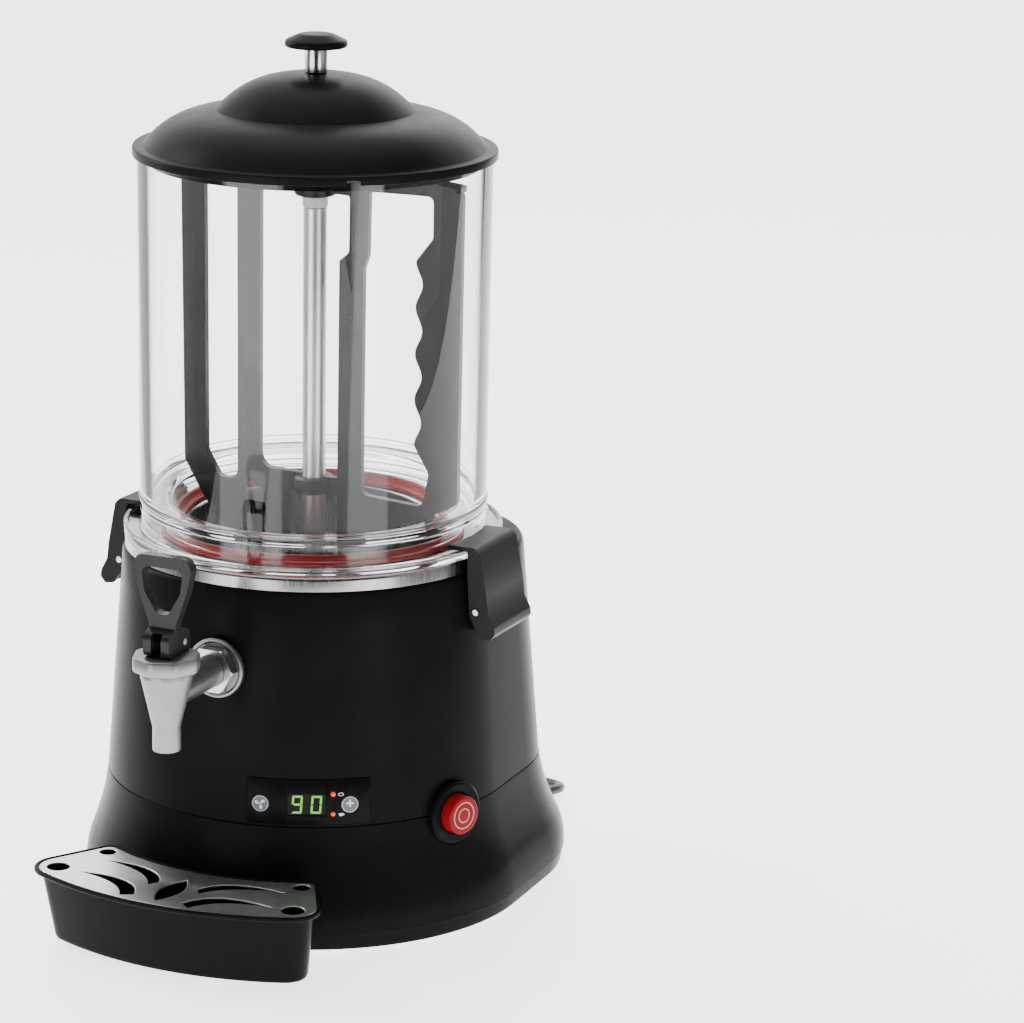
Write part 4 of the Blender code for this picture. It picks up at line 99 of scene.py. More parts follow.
def soft(corners, steps=4):
    """A closed outline whose corners (x, y, radius) are rounded."""
    points = []
    count = len(corners)
    for index, item in enumerate(corners):
        corner = Vector(item[:2])
        radius = item[2] if len(item) > 2 else 0
        if radius == 0:
            points.append(tuple(corner))
            continue
        back = Vector(corners[index - 1][:2]) - corner
        ahead = Vector(corners[(index + 1) % count][:2]) - corner
        bend = back.angle(ahead)
        if bend > radians(178):
            points.append(tuple(corner))
            continue
        reach = min(radius / tan(bend / 2), back.length * 0.49, ahead.length * 0.49)
        radius = reach * tan(bend / 2)
        centre = corner + (back.normalized() + ahead.normalized()).normalized() * radius / sin(bend / 2)
        first = corner + back.normalized() * reach - centre
        last = corner + ahead.normalized() * reach - centre
        start = atan2(first.y, first.x)
        sweep = atan2(first.x * last.y - first.y * last.x, first.dot(last))
        points += arc(centre, radius, start, start + sweep, steps)
    return points


def rounded(left, low, right, high, radius, steps=4):
    """A rectangle with round corners, from its lower left one on."""
    corners = ((left, low), (right, low), (right, high), (left, high))
    return soft([(*corner, radius) for corner in corners], steps)


def curve_through(points, steps):
    """Points on a smooth curve through the given ones."""
    dense = []
    for i in range(len(points) - 1):
        p0, p1, p2, p3 = [Vector(points[min(max(i + k, 0), len(points) - 1)]) for k in (-1, 0, 1, 2)]
        for step in range(steps):
            t = step / steps
            dense.append(0.5 * (2 * p1 + (p2 - p0) * t + (2 * p0 - 5 * p1 + 4 * p2 - p3) * t ** 2
                    + (3 * p1 - p0 - 3 * p2 + p3) * t ** 3))
    dense.append(Vector(points[-1]))
    return dense


# Solids, all as bmeshes in millimetres

def loft(rings, looped=False):
    """A solid through rings of the same count, capped or closed to a loop."""
    bm = bmesh.new()
    loops = [[bm.verts.new(p) for p in ring] for ring in rings]
    pairs = list(zip(loops, loops[1:]))
    if looped:
        pairs.append((loops[-1], loops[0]))
    else:
        bm.faces.new(loops[0])
        bm.faces.new(loops[-1])
    for ring, following in pairs:
        count = len(ring)
        for side in range(count):
            ahead = (side + 1) % count
            bm.faces.new((ring[side], ring[ahead], following[ahead], following[side]))
    bmesh.ops.recalc_face_normals(bm, faces=bm.faces)
    return bm


def spin(profile, steps=144):
    """A solid turned round Z from a closed outline of (radius, z)."""
    bm = bmesh.new()
    rings = []
    for radius, z in profile:
        if radius < 1e-6:
            rings.append([bm.verts.new((0, 0, z))] * steps)
            continue
        rings.append([bm.verts.new((x, y, z)) for x, y in circle((0, 0), radius, steps)])
    for index, ring in enumerate(rings):
        following = rings[(index + 1) % len(rings)]
        for side in range(steps):
            ahead = (side + 1) % steps
            corners = list(dict.fromkeys((ring[side], ring[ahead], following[ahead], following[side])))
            if len(corners) > 2:
                bm.faces.new(corners)
    bmesh.ops.recalc_face_normals(bm, faces=bm.faces)
    return bm


def turned(corners, steps=4, sides=144):
    """A solid turned round Z from an outline whose corners are rounded."""
    return spin(soft(corners, steps), sides)


def slab(outlines, low, high, plane="XY"):
    """A plate from an outline and its holes, between two levels of its normal."""
    bm = bmesh.new()
    edges = []
    for outline in outlines:
        verts = [bm.verts.new((x, y, low)) for x, y in outline]
        for i in range(len(verts)):
            edges.append(bm.edges.new((verts[i], verts[(i + 1) % len(verts)])))
    bmesh.ops.triangle_fill(bm, edges=edges, use_beauty=True)
    grown = bmesh.ops.extrude_face_region(bm, geom=bm.faces[:])
    top = [item for item in grown["geom"] if isinstance(item, bmesh.types.BMVert)]
    bmesh.ops.translate(bm, verts=top, vec=(0, 0, high - low))
    if plane == "XZ":
        turn(bm, Matrix(((1, 0, 0, 0), (0, 0, 1, 0), (0, 1, 0, 0), (0, 0, 0, 1))))
    if plane == "YZ":
        turn(bm, Matrix(((0, 0, 1, 0), (1, 0, 0, 0), (0, 1, 0, 0), (0, 0, 0, 1))))
    bmesh.ops.recalc_face_normals(bm, faces=bm.faces)
    return bm


def turn(bm, matrix):
    bmesh.ops.transform(bm, verts=bm.verts, matrix=matrix)
    return bm


def shift(bm, x=0, y=0, z=0):
    return turn(bm, Matrix.Translation((x, y, z)))


def box(low, high):
    """A block between two corners, for cutting."""
    (x0, y0, z0), (x1, y1, z1) = low, high
    return slab([[(x0, y0), (x1, y0), (x1, y1), (x0, y1)]], z0, z1)


def rod(radius, start, end, steps=48, edge=0):
    """A round bar between two points, its ends rounded by an edge radius."""
    start, end = Vector(start), Vector(end)
    length = (end - start).length
    spun = turned([(0, 0), (radius, 0, edge), (radius, length, edge), (0, length)], 4, steps)
    heading = (end - start).to_track_quat("Z", "Y").to_matrix().to_4x4()
    return turn(spun, Matrix.Translation(start) @ heading)


def tube(points, radius, sides=16):
    """A round tube along points, with filled ends."""
    rings = []
    normal = None
    for i, point in enumerate(points):
        ahead = Vector(points[min(i + 1, len(points) - 1)]) - Vector(points[max(i - 1, 0)])
        ahead.normalize()
        if normal is None:
            normal = ahead.orthogonal().normalized()
        normal = (normal - ahead * normal.dot(ahead)).normalized()
        other = ahead.cross(normal)
        rings.append([Vector(point) + normal * x + other * y for x, y in circle((0, 0), radius, sides)])
    return loft(rings)


def standing(place_at, out):
    """The frame of something on a point, its +Z pointing out and its +Y up."""
    side = Vector((-out.y, out.x, 0))
    basis = Matrix((side, Vector((0, 0, 1)), out)).transposed().to_4x4()
    return Matrix.Translation(place_at) @ basis


def facing(bearing, z=0):
    """The frame of something on the side of the housing."""
    angle = radians(bearing)
    return standing((0, 0, z), Vector((sin(angle), -cos(angle), 0)))


def beside(distance):
    """The bearing at a distance along the curved face from the panel's middle."""
    return PANEL_BEARING + degrees(distance / FACE_RADIUS)


def linked(name, data):
    """A new object of the scene."""
    item = bpy.data.objects.new(name, data)
    bpy.context.scene.collection.objects.link(item)
    return item


def merged(*parts):
    """Separate closed bodies held in one mesh."""
    bm = bmesh.new()
    for part in parts:
        mesh = bpy.data.meshes.new("part")
        part.to_mesh(mesh)
        part.free()
        bm.from_mesh(mesh)
        bpy.data.meshes.remove(mesh)
    return bm


def carved(bm, cutters, operation="DIFFERENCE"):
    """A solid cut by, or joined with, other solids."""
    for cutter in cutters:
        things = []
        for item in (bm, cutter):
            mesh = bpy.data.meshes.new("carve")
            item.to_mesh(mesh)
            item.free()
            things.append(linked("carve", mesh))
        modifier = things[0].modifiers.new("carve", "BOOLEAN")
        modifier.operation = operation
        modifier.solver = "EXACT"
        modifier.object = things[1]
        bpy.context.view_layer.update()
        shown = things[0].evaluated_get(bpy.context.evaluated_depsgraph_get())
        result = bpy.data.meshes.new_from_object(shown)
        bm = bmesh.new()
        bm.from_mesh(result)
        for thing in things:
            bpy.data.objects.remove(thing)
        bmesh.ops.remove_doubles(bm, verts=bm.verts, dist=0.002)
        bmesh.ops.dissolve_degenerate(bm, edges=bm.edges, dist=0.002)
    return bm


def put(name, bm, body, look, nodes=(), bevel=0, segments=3):
    """Makes a piece from a bmesh, rides it on its body and hides the CAD nodes it stands for."""
    turn(bm, Matrix.Scale(MM, 4))
    bmesh.ops.translate(bm, verts=bm.verts, vec=(0, AXIS_Y, 0))
    mesh = bpy.data.meshes.new(name)
    bm.to_mesh(mesh)
    bm.free()
    mesh.shade_smooth()
    mesh.set_sharp_from_angle(angle=SHARP)
    mesh.materials.append(LOOKS[look].material)
    piece = linked(name, mesh)
    if bevel:
        modifier = piece.modifiers.new("edges", "BEVEL")
        modifier.width = bevel * MM
        modifier.segments = segments
        modifier.limit_method = "ANGLE"
        modifier.angle_limit = SHARP
        modifier.harden_normals = True
        modifier.use_clamp_overlap = True
    if nodes:
        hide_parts(*nodes)
    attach(piece, body)
    return piece


def redo(node, body, look, bevel=0.4, segments=3):
    """The CAD node's own form with merged faces and rounded edges."""
    bm = bmesh.new()
    bm.from_mesh(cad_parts[node].data)
    bmesh.ops.translate(bm, verts=bm.verts, vec=(0, -AXIS_Y, 0))
    turn(bm, Matrix.Scale(1 / MM, 4))
    bmesh.ops.remove_doubles(bm, verts=bm.verts, dist=0.003)
    bmesh.ops.dissolve_limit(bm, angle_limit=radians(0.6), verts=bm.verts, edges=bm.edges)
    return put(node + "_body", bm, body, look, [node], bevel, segments)


# Materials

def ranged(tree, source, start, end, low, high):
    """A node that maps the range from start to end to low and high."""
    made = tree.nodes.new("ShaderNodeMapRange")
    tree.links.new(source, made.inputs["Value"])
    for name, value in (("From Min", start), ("From Max", end), ("To Min", low), ("To Max", high)):
        made.inputs[name].default_value = value
    return made


class Look:
    """A Principled material with its own grain, slow tone and smudges."""

    def __init__(self, name, colour, rough, metal=0):
        self.material = bpy.data.materials.new(name)
        self.material.use_nodes = True
        self.tree = self.material.node_tree
        self.shader = self.tree.nodes["Principled BSDF"]
        self.give(Base_Color=(*colour, 1), Roughness=rough, Metallic=metal)
        self.colour = colour
        self.rough = rough
        self.spot = self.tree.nodes.new("ShaderNodeTexCoord").outputs["Object"]

    def node(self, kind, **values):
        made = self.tree.nodes.new(kind)
        for key, value in values.items():
            if hasattr(made, key):
                setattr(made, key, value)
            else:
                made.inputs[key.replace("_", " ")].default_value = value
        return made

    def give(self, **values):
        """Sets constant inputs of the shader, written with _ for each space."""
        for key, value in values.items():
            self.shader.inputs[key.replace("_", " ")].default_value = value

    def link(self, source, target):
        self.tree.links.new(source, target)

    def noise(self, scale, detail=4, stretch=None, rough=0.55):
        """A cloudy pattern, drawn out along an axis where it is stretched."""
        made = self.node("ShaderNodeTexNoise", Scale=scale, Detail=detail, Roughness=rough)
        if stretch:
            mapping = self.node("ShaderNodeMapping", Scale=stretch)
            self.link(self.spot, mapping.inputs["Vector"])
            self.link(mapping.outputs["Vector"], made.inputs["Vector"])
        else:
            self.link(self.spot, made.inputs["Vector"])
        return made.outputs["Fac"]

    def spread(self, source, low, high, start=0.3, end=0.7):
        return ranged(self.tree, source, start, end, low, high).outputs["Result"]

    def mix(self, share, first, second, target):
        """Blends two colours by a share into a socket."""
        made = self.node("ShaderNodeMix", data_type="RGBA")
        self.link(share, made.inputs["Factor"])
        made.inputs[6].default_value = (*first, 1)
        made.inputs[7].default_value = (*second, 1)
        self.link(made.outputs[2], target)

    def gloss(self, source, low, high, start=0.3, end=0.7):
        self.link(self.spread(source, low, high, start, end), self.shader.inputs["Roughness"])

    def bump(self, source, strength, distance, before=None):
        """Relief from a pattern, on top of an earlier one."""
        made = self.node("ShaderNodeBump", Strength=strength, Distance=distance)
        self.link(source, made.inputs["Height"])
        if before is not None:
            self.link(before, made.inputs["Normal"])
        self.link(made.outputs["Normal"], self.shader.inputs["Normal"])
        return made.outputs["Normal"]

    def tint(self, amount, scale=22):
        """Slow changes of tone."""
        dark = tuple(c * (1 - amount) for c in self.colour)
        light = tuple(min(c * (1 + amount), 1) for c in self.colour)
        self.mix(self.spread(self.noise(scale, 5), 0, 1), dark, light, self.shader.inputs["Base Color"])

    def wipe(self, amount, scale=35, stretch=(1, 1, 0.35)):
        """Uneven gloss, as left by a cloth."""
        source = self.noise(scale, 6, stretch, 0.65)
        self.gloss(source, self.rough - amount, self.rough + amount)


def moulded(name, colour, rough, grain=900, strength=0.10, wipe=0.05, tint=0.12):
    """Moulded plastic: fine spark grain, slow tone, wiped gloss."""
    look = Look(name, colour, rough)
    look.tint(tint)
    look.wipe(wipe)
    waves = look.bump(look.noise(14, 2), 0.05, 0.0006)
    look.bump(look.noise(grain, 3), strength, 0.00012, waves)
    return look


def metal(name, colour, rough, stretch, scale=60, strength=0.06, wipe=0.06, turning=0):
    """Metal with drawn or turned brush lines."""
    look = Look(name, colour, rough, 1)
    look.tint(0.10, 30)
    lines = look.noise(scale, 6, stretch, 0.7)
    look.gloss(lines, rough - wipe, rough + wipe)
    look.bump(lines, strength, 0.00008)
    look.give(Anisotropic=turning)
    return look


def lit(name, colour, rough, glow, strength, tint=0.1, tone=200, smear=200):
    """Glowing plastic: slow tone, uneven gloss and a fine grain."""
    look = Look(name, colour, rough)
    look.tint(tint, tone)
    look.wipe(0.05, smear)
    look.bump(look.noise(900), 0.05, 0.0001)
    look.give(Emission_Color=(*glow, 1), Emission_Strength=strength)
    return look


def silicone():
    look = Look("red_silicone", (0.80, 0.022, 0.026), 0.38)
    look.tint(0.18, 45)
    look.wipe(0.07)
    look.bump(look.noise(800), 0.12, 0.0001)
    look.give(Subsurface_Weight=0.15, Subsurface_Scale=0.004)
    return look


def clear_plastic():
    """Clear bowl plastic with faint smears and a slow wave."""
    look = Look("clear_plastic", (0.985, 0.992, 0.995), 0.012)
    look.give(Transmission_Weight=1, IOR=1.36)
    smears = look.noise(28, 7, (1, 1, 0.25), 0.7)
    look.gloss(smears, 0, 0.01, 0.35, 0.8)
    look.mix(look.spread(smears, 0, 1), (0.975, 0.985, 0.99), (0.99, 0.995, 0.998),
            look.shader.inputs["Base Color"])
    look.bump(look.noise(7, 2), 0.04, 0.0004)
    return look


def printed_board():
    """Green board with small gold pads."""
    look = Look("green_board", (0.02, 0.15, 0.06), 0.45)
    cells = look.node("ShaderNodeTexVoronoi", Scale=260)
    look.link(look.spot, cells.inputs["Vector"])
    look.mix(look.spread(cells.outputs["Distance"], 0, 1, 0.02, 0.06), (0.55, 0.42, 0.12),
            look.colour, look.shader.inputs["Base Color"])
    look.wipe(0.1, 120)
    look.bump(cells.outputs["Distance"], 0.2, 0.0002)
    return look


def pale_floor():
    """A floor that glows enough to be the picture's background."""
    look = Look("pale_floor", (0.86, 0.86, 0.86), 0.42)
    look.tint(0.015, 3)
    look.wipe(0.05, 8)
    look.bump(look.noise(300), 0.04, 0.0002)
    look.give(Emission_Color=(1, 1, 1, 1), Emission_Strength=2.6)
    return look


# Gloss of each look that isn't the shader's own
SHINE = {"black": 0.02, "tray": 0.03, "gloss": 0.2, "soft": 0.15, "lid": 0.035, "stir": 0.24,
        "film": 0.05, "window": 0.08, "lens": 0.08}


def make_looks():
    looks = {
        "black": moulded("black_plastic", (0.0075, 0.0075, 0.0079), 0.26, 1300, 0.045, 0.05),
        "tray": moulded("tray_plastic", (0.006, 0.006, 0.0063), 0.30, 1100, 0.07, 0.06),
        "gloss": moulded("gloss_black", (0.016, 0.016, 0.0165), 0.28, 1400, 0.02, 0.04),
        "soft": moulded("soft_black", (0.008, 0.008, 0.0083), 0.44, 1000, 0.16, 0.05),
        "lid": moulded("lid_plastic", (0.008, 0.008, 0.0085), 0.33, 1200, 0.12, 0.05),
        "stir": moulded("agitator_plastic", (0.012, 0.012, 0.0125), 0.32, 1000, 0.03, 0.06),
        "rubber": moulded("rubber", (0.014, 0.014, 0.014), 0.70, 700, 0.25, 0.08, 0.25),
        "cord": moulded("cord_rubber", (0.012, 0.012, 0.0125), 0.45, 900, 0.15, 0.07, 0.2),
        "bush": moulded("white_bush", (0.72, 0.72, 0.69), 0.42, 900, 0.1, 0.06, 0.08),
        "film": moulded("panel_film", (0.004, 0.004, 0.0045), 0.30, 1500, 0.02, 0.03),
        "window": moulded("display_window", (0.006, 0.007, 0.006), 0.22, 1500, 0.01, 0.03),
        "grey": moulded("grey_key", (0.10, 0.118, 0.142), 0.40, 1400, 0.06, 0.05, 0.08),
        "print": moulded("printed_white", (0.80, 0.81, 0.82), 0.45, 1500, 0.05, 0.05, 0.06),
        "rose": moulded("printed_rose", (0.55, 0.20, 0.19), 0.45, 1500, 0.05, 0.05, 0.06),
        "steel": metal("polished_steel", (0.52, 0.515, 0.51), 0.22, (1, 1, 0.2), 90, 0.03, 0.05),
        "satin": metal("satin_steel", (0.26, 0.257, 0.254), 0.42, (1, 1, 40), 30, 0.10, 0.08, 0.4),
        "pan": metal("pressed_steel", (0.33, 0.33, 0.326), 0.24, (3, 60, 1), 25, 0.05, 0.07, 0.3),
        "column": metal("drawn_tube", (0.66, 0.655, 0.65), 0.36, (20, 20, 0.3), 40, 0.05, 0.06),
        "grate": metal("brushed_sheet", (0.86, 0.86, 0.86), 0.31, (1, 80, 1), 18, 0.03, 0.04, 0.3),
        "zinc": metal("zinc_steel", (0.47, 0.47, 0.45), 0.42, (1, 1, 1), 70, 0.10, 0.12),
        "seal": silicone(),
        "clear": clear_plastic(),
        "lens": lit("red_lens", (0.20, 0.005, 0.008), 0.34, (1, 0.02, 0.04), 0.09, 0.15, 90, 80),
        "lamp": lit("lamp_lens", (0.55, 0.05, 0.01), 0.25, (1, 0.07, 0.005), 0.9),
        "digit": lit("green_display", (0.04, 0.30, 0.005), 0.35, (0.28, 1, 0), 0.75),
        "board": printed_board(),
        "floor": pale_floor(),
    }
    looks["rose"].give(Emission_Color=(1, 0.45, 0.42, 1), Emission_Strength=0.1)
    for key, level in SHINE.items():
        looks[key].give(Specular_IOR_Level=level)
    return looks


LOOKS = make_looks()


# Camera and cord

def aim_camera():
    data = bpy.data.cameras.new("camera")
    data.sensor_width = 36
    data.lens = CAMERA_LENS
    data.clip_end = 50
    camera = linked("camera", data)
    camera.location = CAMERA_PLACE
    camera.rotation_euler = [radians(a) for a in CAMERA_TURN]
    bpy.context.scene.camera = camera


GLAND_AT = Vector((76.09, 172.15, 12))
GLAND_OUT = Vector((0.34202, 0.93969, 0))
CORD_ROUTE = (
    (86.35, 200.34, 12), (87.75, 204.15, 12), (89.45, 212.16, 11.2), (88.86, 220.36, 9.6),
    (86.06, 228.07, 7.8), (81.26, 234.68, 6.1), (74.76, 239.78, 4.8), (67.17, 242.89, 4.1),
    (58.97, 243.69, 3.9), (50.87, 242.3, 3.9), (43.58, 238.71, 3.9), (37.38, 233.21, 3.9),
    (26.98, 220.82, 3.9), (15.99, 207.73, 3.9), (7.19, 199.83, 3.9), (-2.91, 195.14, 3.9),
    (-14.61, 193.45, 3.9), (-21, 193.45, 3.9), (-27.7, 193.46, 3.9))
COIL_CENTRE = Vector((-35, 244.958, 3.9))


def coil_points():
    """The wound cord: inwards on the ground, then outwards on top of it."""
    points = []
    count = 5 * 40 + 10
    for index in range(count + 1):
        turns = 5.25 * index / count
        share = turns / 2.5 if turns < 2.5 else (5.25 - turns) / 2.75
        radius = 51.5 - 22.5 * share
        climb = min(max((turns - 2.5) / 0.5 + 0.5, 0), 1)
        climb = climb * climb * (3 - 2 * climb)
        angle = -pi / 2 - tau * turns
        spot = Vector((radius * cos(angle), radius * sin(angle), 7.8 * climb))
        points.append(COIL_CENTRE + spot)
    return points


def tie_band():
    """A strap round the wound turns, on the coil's right side."""
    outlines = [rounded(23.8, -3.85, 56.2, 12.1, 3, 6), rounded(24.5, -3.6, 55.5, 11.5, 3, 6)]
    return shift(slab(outlines, -4, 4, "XZ"), *COIL_CENTRE)


def cord_pieces():
    """The cord with its strain relief, its coil and its plug."""
    coil = coil_points()
    tail = coil[-1] + Vector((0, 22, 0))
    line = curve_through(CORD_ROUTE, 8)[:-1] + [coil[0] + Vector((7, 0, 0))] + coil[1:]
    line += [tail - Vector((0, 11, 0)), tail]
    world = [(Vector(p) + Vector((0, AXIS_Y / MM, 0))) * MM for p in line]
    data = bpy.data.curves.new("power_cord_line", "CURVE")
    data.dimensions = "3D"
    data.bevel_depth = 3.5 * MM
    data.bevel_resolution = 6
    data.use_fill_caps = True
    spline = data.splines.new("POLY")
    spline.points.add(len(world) - 1)
    for spot, point in zip(spline.points, world):
        spot.co = (*point, 1)
    data.materials.append(LOOKS["cord"].material)
    cord = linked("power_cord_line", data)
    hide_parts("power_cord", "cord_coil")
    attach(cord, "base")

    end = tail
    middle = end.y + 0.3 + 14 + 18.5
    body = turned([(0, 0.4), (18.5, 0.4, 2.2), (18.5, 22.4, 2.2), (0, 22.4)], 5, 64)
    shift(body, end.x, middle)
    neck_profile = [(0, 0)]
    for ring in range(4):
        near = 1 + ring * 3.2
        neck_profile += [(4.6 + ring * 0.4, near), (4.6 + ring * 0.4, near + 2),
                (3.9 + ring * 0.4, near + 2.3), (3.9 + ring * 0.4, near + 3)]
    neck_profile += [(5.8, 14), (5.8, 17), (0, 17)]
    neck = spin(neck_profile, 40)
    turn(neck, Matrix.Translation((end.x, end.y + 0.3, end.z)) @ Matrix.Rotation(-pi / 2, 4, "X"))
    plug = put("mains_plug_body", merged(body, neck), "base", "cord", ["mains_plug"], 0.2, 2)
    pins = [rod(2.4, (end.x, middle + y, 20), (end.x, middle + y, 41.4), 32, 1) for y in (-9.5, 9.5)]
    prongs = put("mains_plug_pins", merged(*pins), "base", "steel")

    profile = [(0, -3), (7.5, -3), (7.5, 0.5), (8.5, 0.5, 0.3), (8.5, 2, 0.6)]
    for ring in range(7):
        near = 2.6 + ring * 3.6
        wide = 7.2 - 2.4 * ring / 7
        profile += [(wide, near), (wide, near + 1.9, 0.3), (wide - 0.9, near + 2.2, 0.2),
                (wide - 0.9, near + 3.2, 0.2)]
    profile += [(5, 28), (5, 29.7), (0, 29.7)]
    relief = turn(turned(profile, 3, 48), standing(GLAND_AT, GLAND_OUT))
    boot = put("strain_relief", relief, "base", "cord", ["cord_gland"])
    tie = put("cord_tie", tie_band(), "base", "cord")


# Housing

def station(z):
    """The plan's front radius and corner centre at a height."""
    if z >= SEAM[0]:
        share = (z - SEAM[0]) / (TOP[0] - SEAM[0])
        return [a + (b - a) * share for a, b in zip(SEAM[1:], TOP[1:])]
    depth = min((SEAM[0] - z) / (SEAM[0] - BASE[0]), 1)
    share = FLARE[-1][1]
    for k in range(len(FLARE) - 1):
        (d0, f0), (d1, f1) = FLARE[k], FLARE[k + 1]
        if depth <= d1:
            before = FLARE[max(k - 1, 0)]
            after = FLARE[min(k + 2, len(FLARE) - 1)]
            t = (depth - d0) / (d1 - d0)
            m0 = (f1 - before[1]) / (d1 - before[0]) * (d1 - d0)
            m1 = (after[1] - f0) / (after[0] - d0) * (d1 - d0)
            share = ((2 * t ** 3 - 3 * t ** 2 + 1) * f0 + (t ** 3 - 2 * t ** 2 + t) * m0
                    + (3 * t ** 2 - 2 * t ** 3) * f1 + (t ** 3 - t ** 2) * m1)
            break
    return [a + (b - a) * min(share, 1) for a, b in zip(SEAM[1:], BASE[1:])]


def plan(z, inset=0, level=None):
    """The housing's outline at a height, drawn in by an inset."""
    radius, cx, cy = station(z)
    rear = radius - cx * cos(TAPER) - cy * sin(TAPER) - inset
    points = arc((cx, cy), rear, TAPER, pi / 2, 16)
    points += arc((-cx, cy), rear, pi / 2, pi - TAPER, 16)
    points += arc((0, 0), radius - inset, pi - TAPER, tau + TAPER, 100)[1:-1]
    height = z if level is None else level
    return [(x, y, height) for x, y in points]


def round_like(radius, like, z):
    """A circle with a point at each bearing of another ring."""
    return [(x / hypot(x, y) * radius, y / hypot(x, y) * radius, z) for x, y, _ in like]


def switch_pocket():
    """The cutter for the switch's seat in both shells."""
    seat = 139.3
    profile = [(0, seat - 14), (17.8, seat - 14), (17.8, seat), (21.8, seat), (21.8, 160), (0, 160)]
    return turn(spin(profile, 96), facing(SWITCH_BEARING, SWITCH_LEVEL))


def panel_holes():
    """Cutters for the display and both lamps, through the shell and its film."""
    window = box((-12.8, -7.6, 120), (12.8, 7.6, 145))
    holes = [turn(window, facing(beside(DISPLAY_SIDE), PANEL_LEVEL))]
    for _, z in LAMPS:
        holes.append(turn(rod(1.9, (0, 0, 120), (0, 0, 145), 40), facing(beside(LAMP_SIDE), z)))
    return holes


def panel_band(inner, outer, low, high, half_width, steps=40, edge=0):
    """A curved strip on the upper housing, between two distances from its surface."""
    levels = [(low, 0), (high, 0)]
    if edge:
        levels = [(low, edge), (low + edge, 0), (high - edge, 0), (high, edge)]
    rings = []
    for z, drop in levels:
        skin = station(z)[0]
        half = half_width / FACE_RADIUS - drop / 138
        bearings = [radians(PANEL_BEARING) + half * (2 * i / steps - 1) for i in range(steps + 1)]
        front, back = skin + outer - drop * 0.5, skin + inner
        ring = [(front * sin(b), -front * cos(b), z) for b in bearings]
        ring += [(back * sin(b), -back * cos(b), z) for b in reversed(bearings)]
        rings.append(ring)
    return loft(rings)


def housing():
    """Both shells, with their seam, recess and openings."""
    crease = 13
    seam_edge = 82.7
    levels = [seam_edge - (seam_edge - crease) * i / 27 for i in range(28)]
    rings = [plan(83, 0.6), plan(82.85, 0.18), plan(82.6, 0)]
    rings += [plan(z) for z in levels[1:]]
    rings += [plan(crease - 0.3, 0.2), plan(crease - 0.5, 0.7), plan(5, 1.3), plan(4.3, 1.5)]
    rings += [plan(3.5, 1.8), plan(3.1, 2.1), plan(3, 2.5), plan(3, 2.8), plan(3.6, 3.1)]
    rings += [plan(z, 3.1) for z in levels[-1:0:-3]]
    rings += [plan(79, 4.5), plan(87, 4.5), plan(87, 3.3), plan(83, 3.3)]
    skirt = loft(rings, True)
    gland = turn(rod(7.8, (0, 0, -5), (0, 0, 5)), standing(GLAND_AT, GLAND_OUT))
    skirt = carved(skirt, [switch_pocket(), gland])
    put("skirt_shell", skirt, "base", "black", ["base_skirt"])

    rings = [plan(83.3, 0.6), plan(83.45, 0.18), plan(83.7, 0)]
    rings += [plan(83.7 + 151.3 * i / 8) for i in range(1, 9)]
    for i in range(1, 9):
        a = pi / 2 * i / 8
        rings.append(plan(239, 4 * (1 - cos(a)), 235 + 4 * sin(a)))
    rings += [round_like(109, rings[0], 239), round_like(108, rings[0], 238),
            round_like(108, rings[0], 236), plan(236, 3), plan(83.3, 3)]
    shell = loft(rings, True)
    inlet = rod(10.8, (0, -150, TAP_LEVEL), (0, -105, TAP_LEVEL))
    recess = panel_band(-1.6, 6, 84.7, 115.8, 40.7)
    shell = carved(shell, [inlet, switch_pocket(), recess] + panel_holes())
    put("housing_shell", shell, "base", "black", ["upper_housing"], 0.35, 2)
    redo("base_plate", "base", "zinc", 0.3, 2)
    for end, y in (("front", -85), ("rear", 118)):
        for side, x in (("left", -85), ("right", 85)):
            foot = turned([(0, 0.8), (8, 0.8, 0.4), (8.8, 0, 0.4), (12, 0, 0.6),
                    (13.5, 5.2, 0.5), (0, 5.2)], 3, 48)
            node = "foot_" + end + "_" + side
            put(node + "_pad", shift(foot, x, y), "base", "rubber", [node])


# Panel and switch

def side_mark(name, bm, body, look, bearing, z):
    """A printed or lit mark, drawn flat and set on the side of the housing."""
    return put(name, turn(bm, facing(bearing, z)), body, look)


def ring_mark(radius, width, low, high, steps=64):
    outer = circle((0, 0), radius + width / 2, steps)
    return slab([outer, circle((0, 0), radius - width / 2, steps)], low, high)


def digit(segments, wide, tall, t, slant):
    """A seven-segment figure, its lit segments as separate bars of width t."""
    right, top = wide / 2, tall / 2
    gap = 0.22
    inner = right - gap - t
    bar = ((gap - right, top), (right - gap, top), (inner, top - t), (-inner, top - t))
    side = ((right, top - gap), (right, gap / 2), (right - t, gap / 2 + t * 0.4), (right - t, top - gap - t))
    middle = ((-inner - t * 0.4, 0), (-inner, t / 2), (inner, t / 2), (inner + t * 0.4, 0),
            (inner, -t / 2), (-inner, -t / 2))
    shapes = {"a": (bar, 1, 1), "d": (bar, 1, -1), "g": (middle, 1, 1), "b": (side, 1, 1),
            "c": (side, 1, -1), "f": (side, -1, 1), "e": (side, -1, -1)}
    parts = []
    for key in segments:
        shape, flip_x, flip_y = shapes[key]
        outline = [(flip_x * x + slant * flip_y * y, flip_y * y) for x, y in shape]
        parts.append(slab([outline], 0, 0.16))
    return merged(*parts)


def plus_mark():
    outline = soft([(-0.6, 0.6), (-2.5, 0.6, 0.1), (-2.5, -0.6, 0.1), (-0.6, -0.6), (-0.6, -2.5, 0.1),
            (0.6, -2.5, 0.1), (0.6, -0.6), (2.5, -0.6, 0.1), (2.5, 0.6, 0.1), (0.6, 0.6),
            (0.6, 2.5, 0.1), (-0.6, 2.5, 0.1)], 2)
    return shift(slab([outline], 0, 0.14), 0, 0.9)


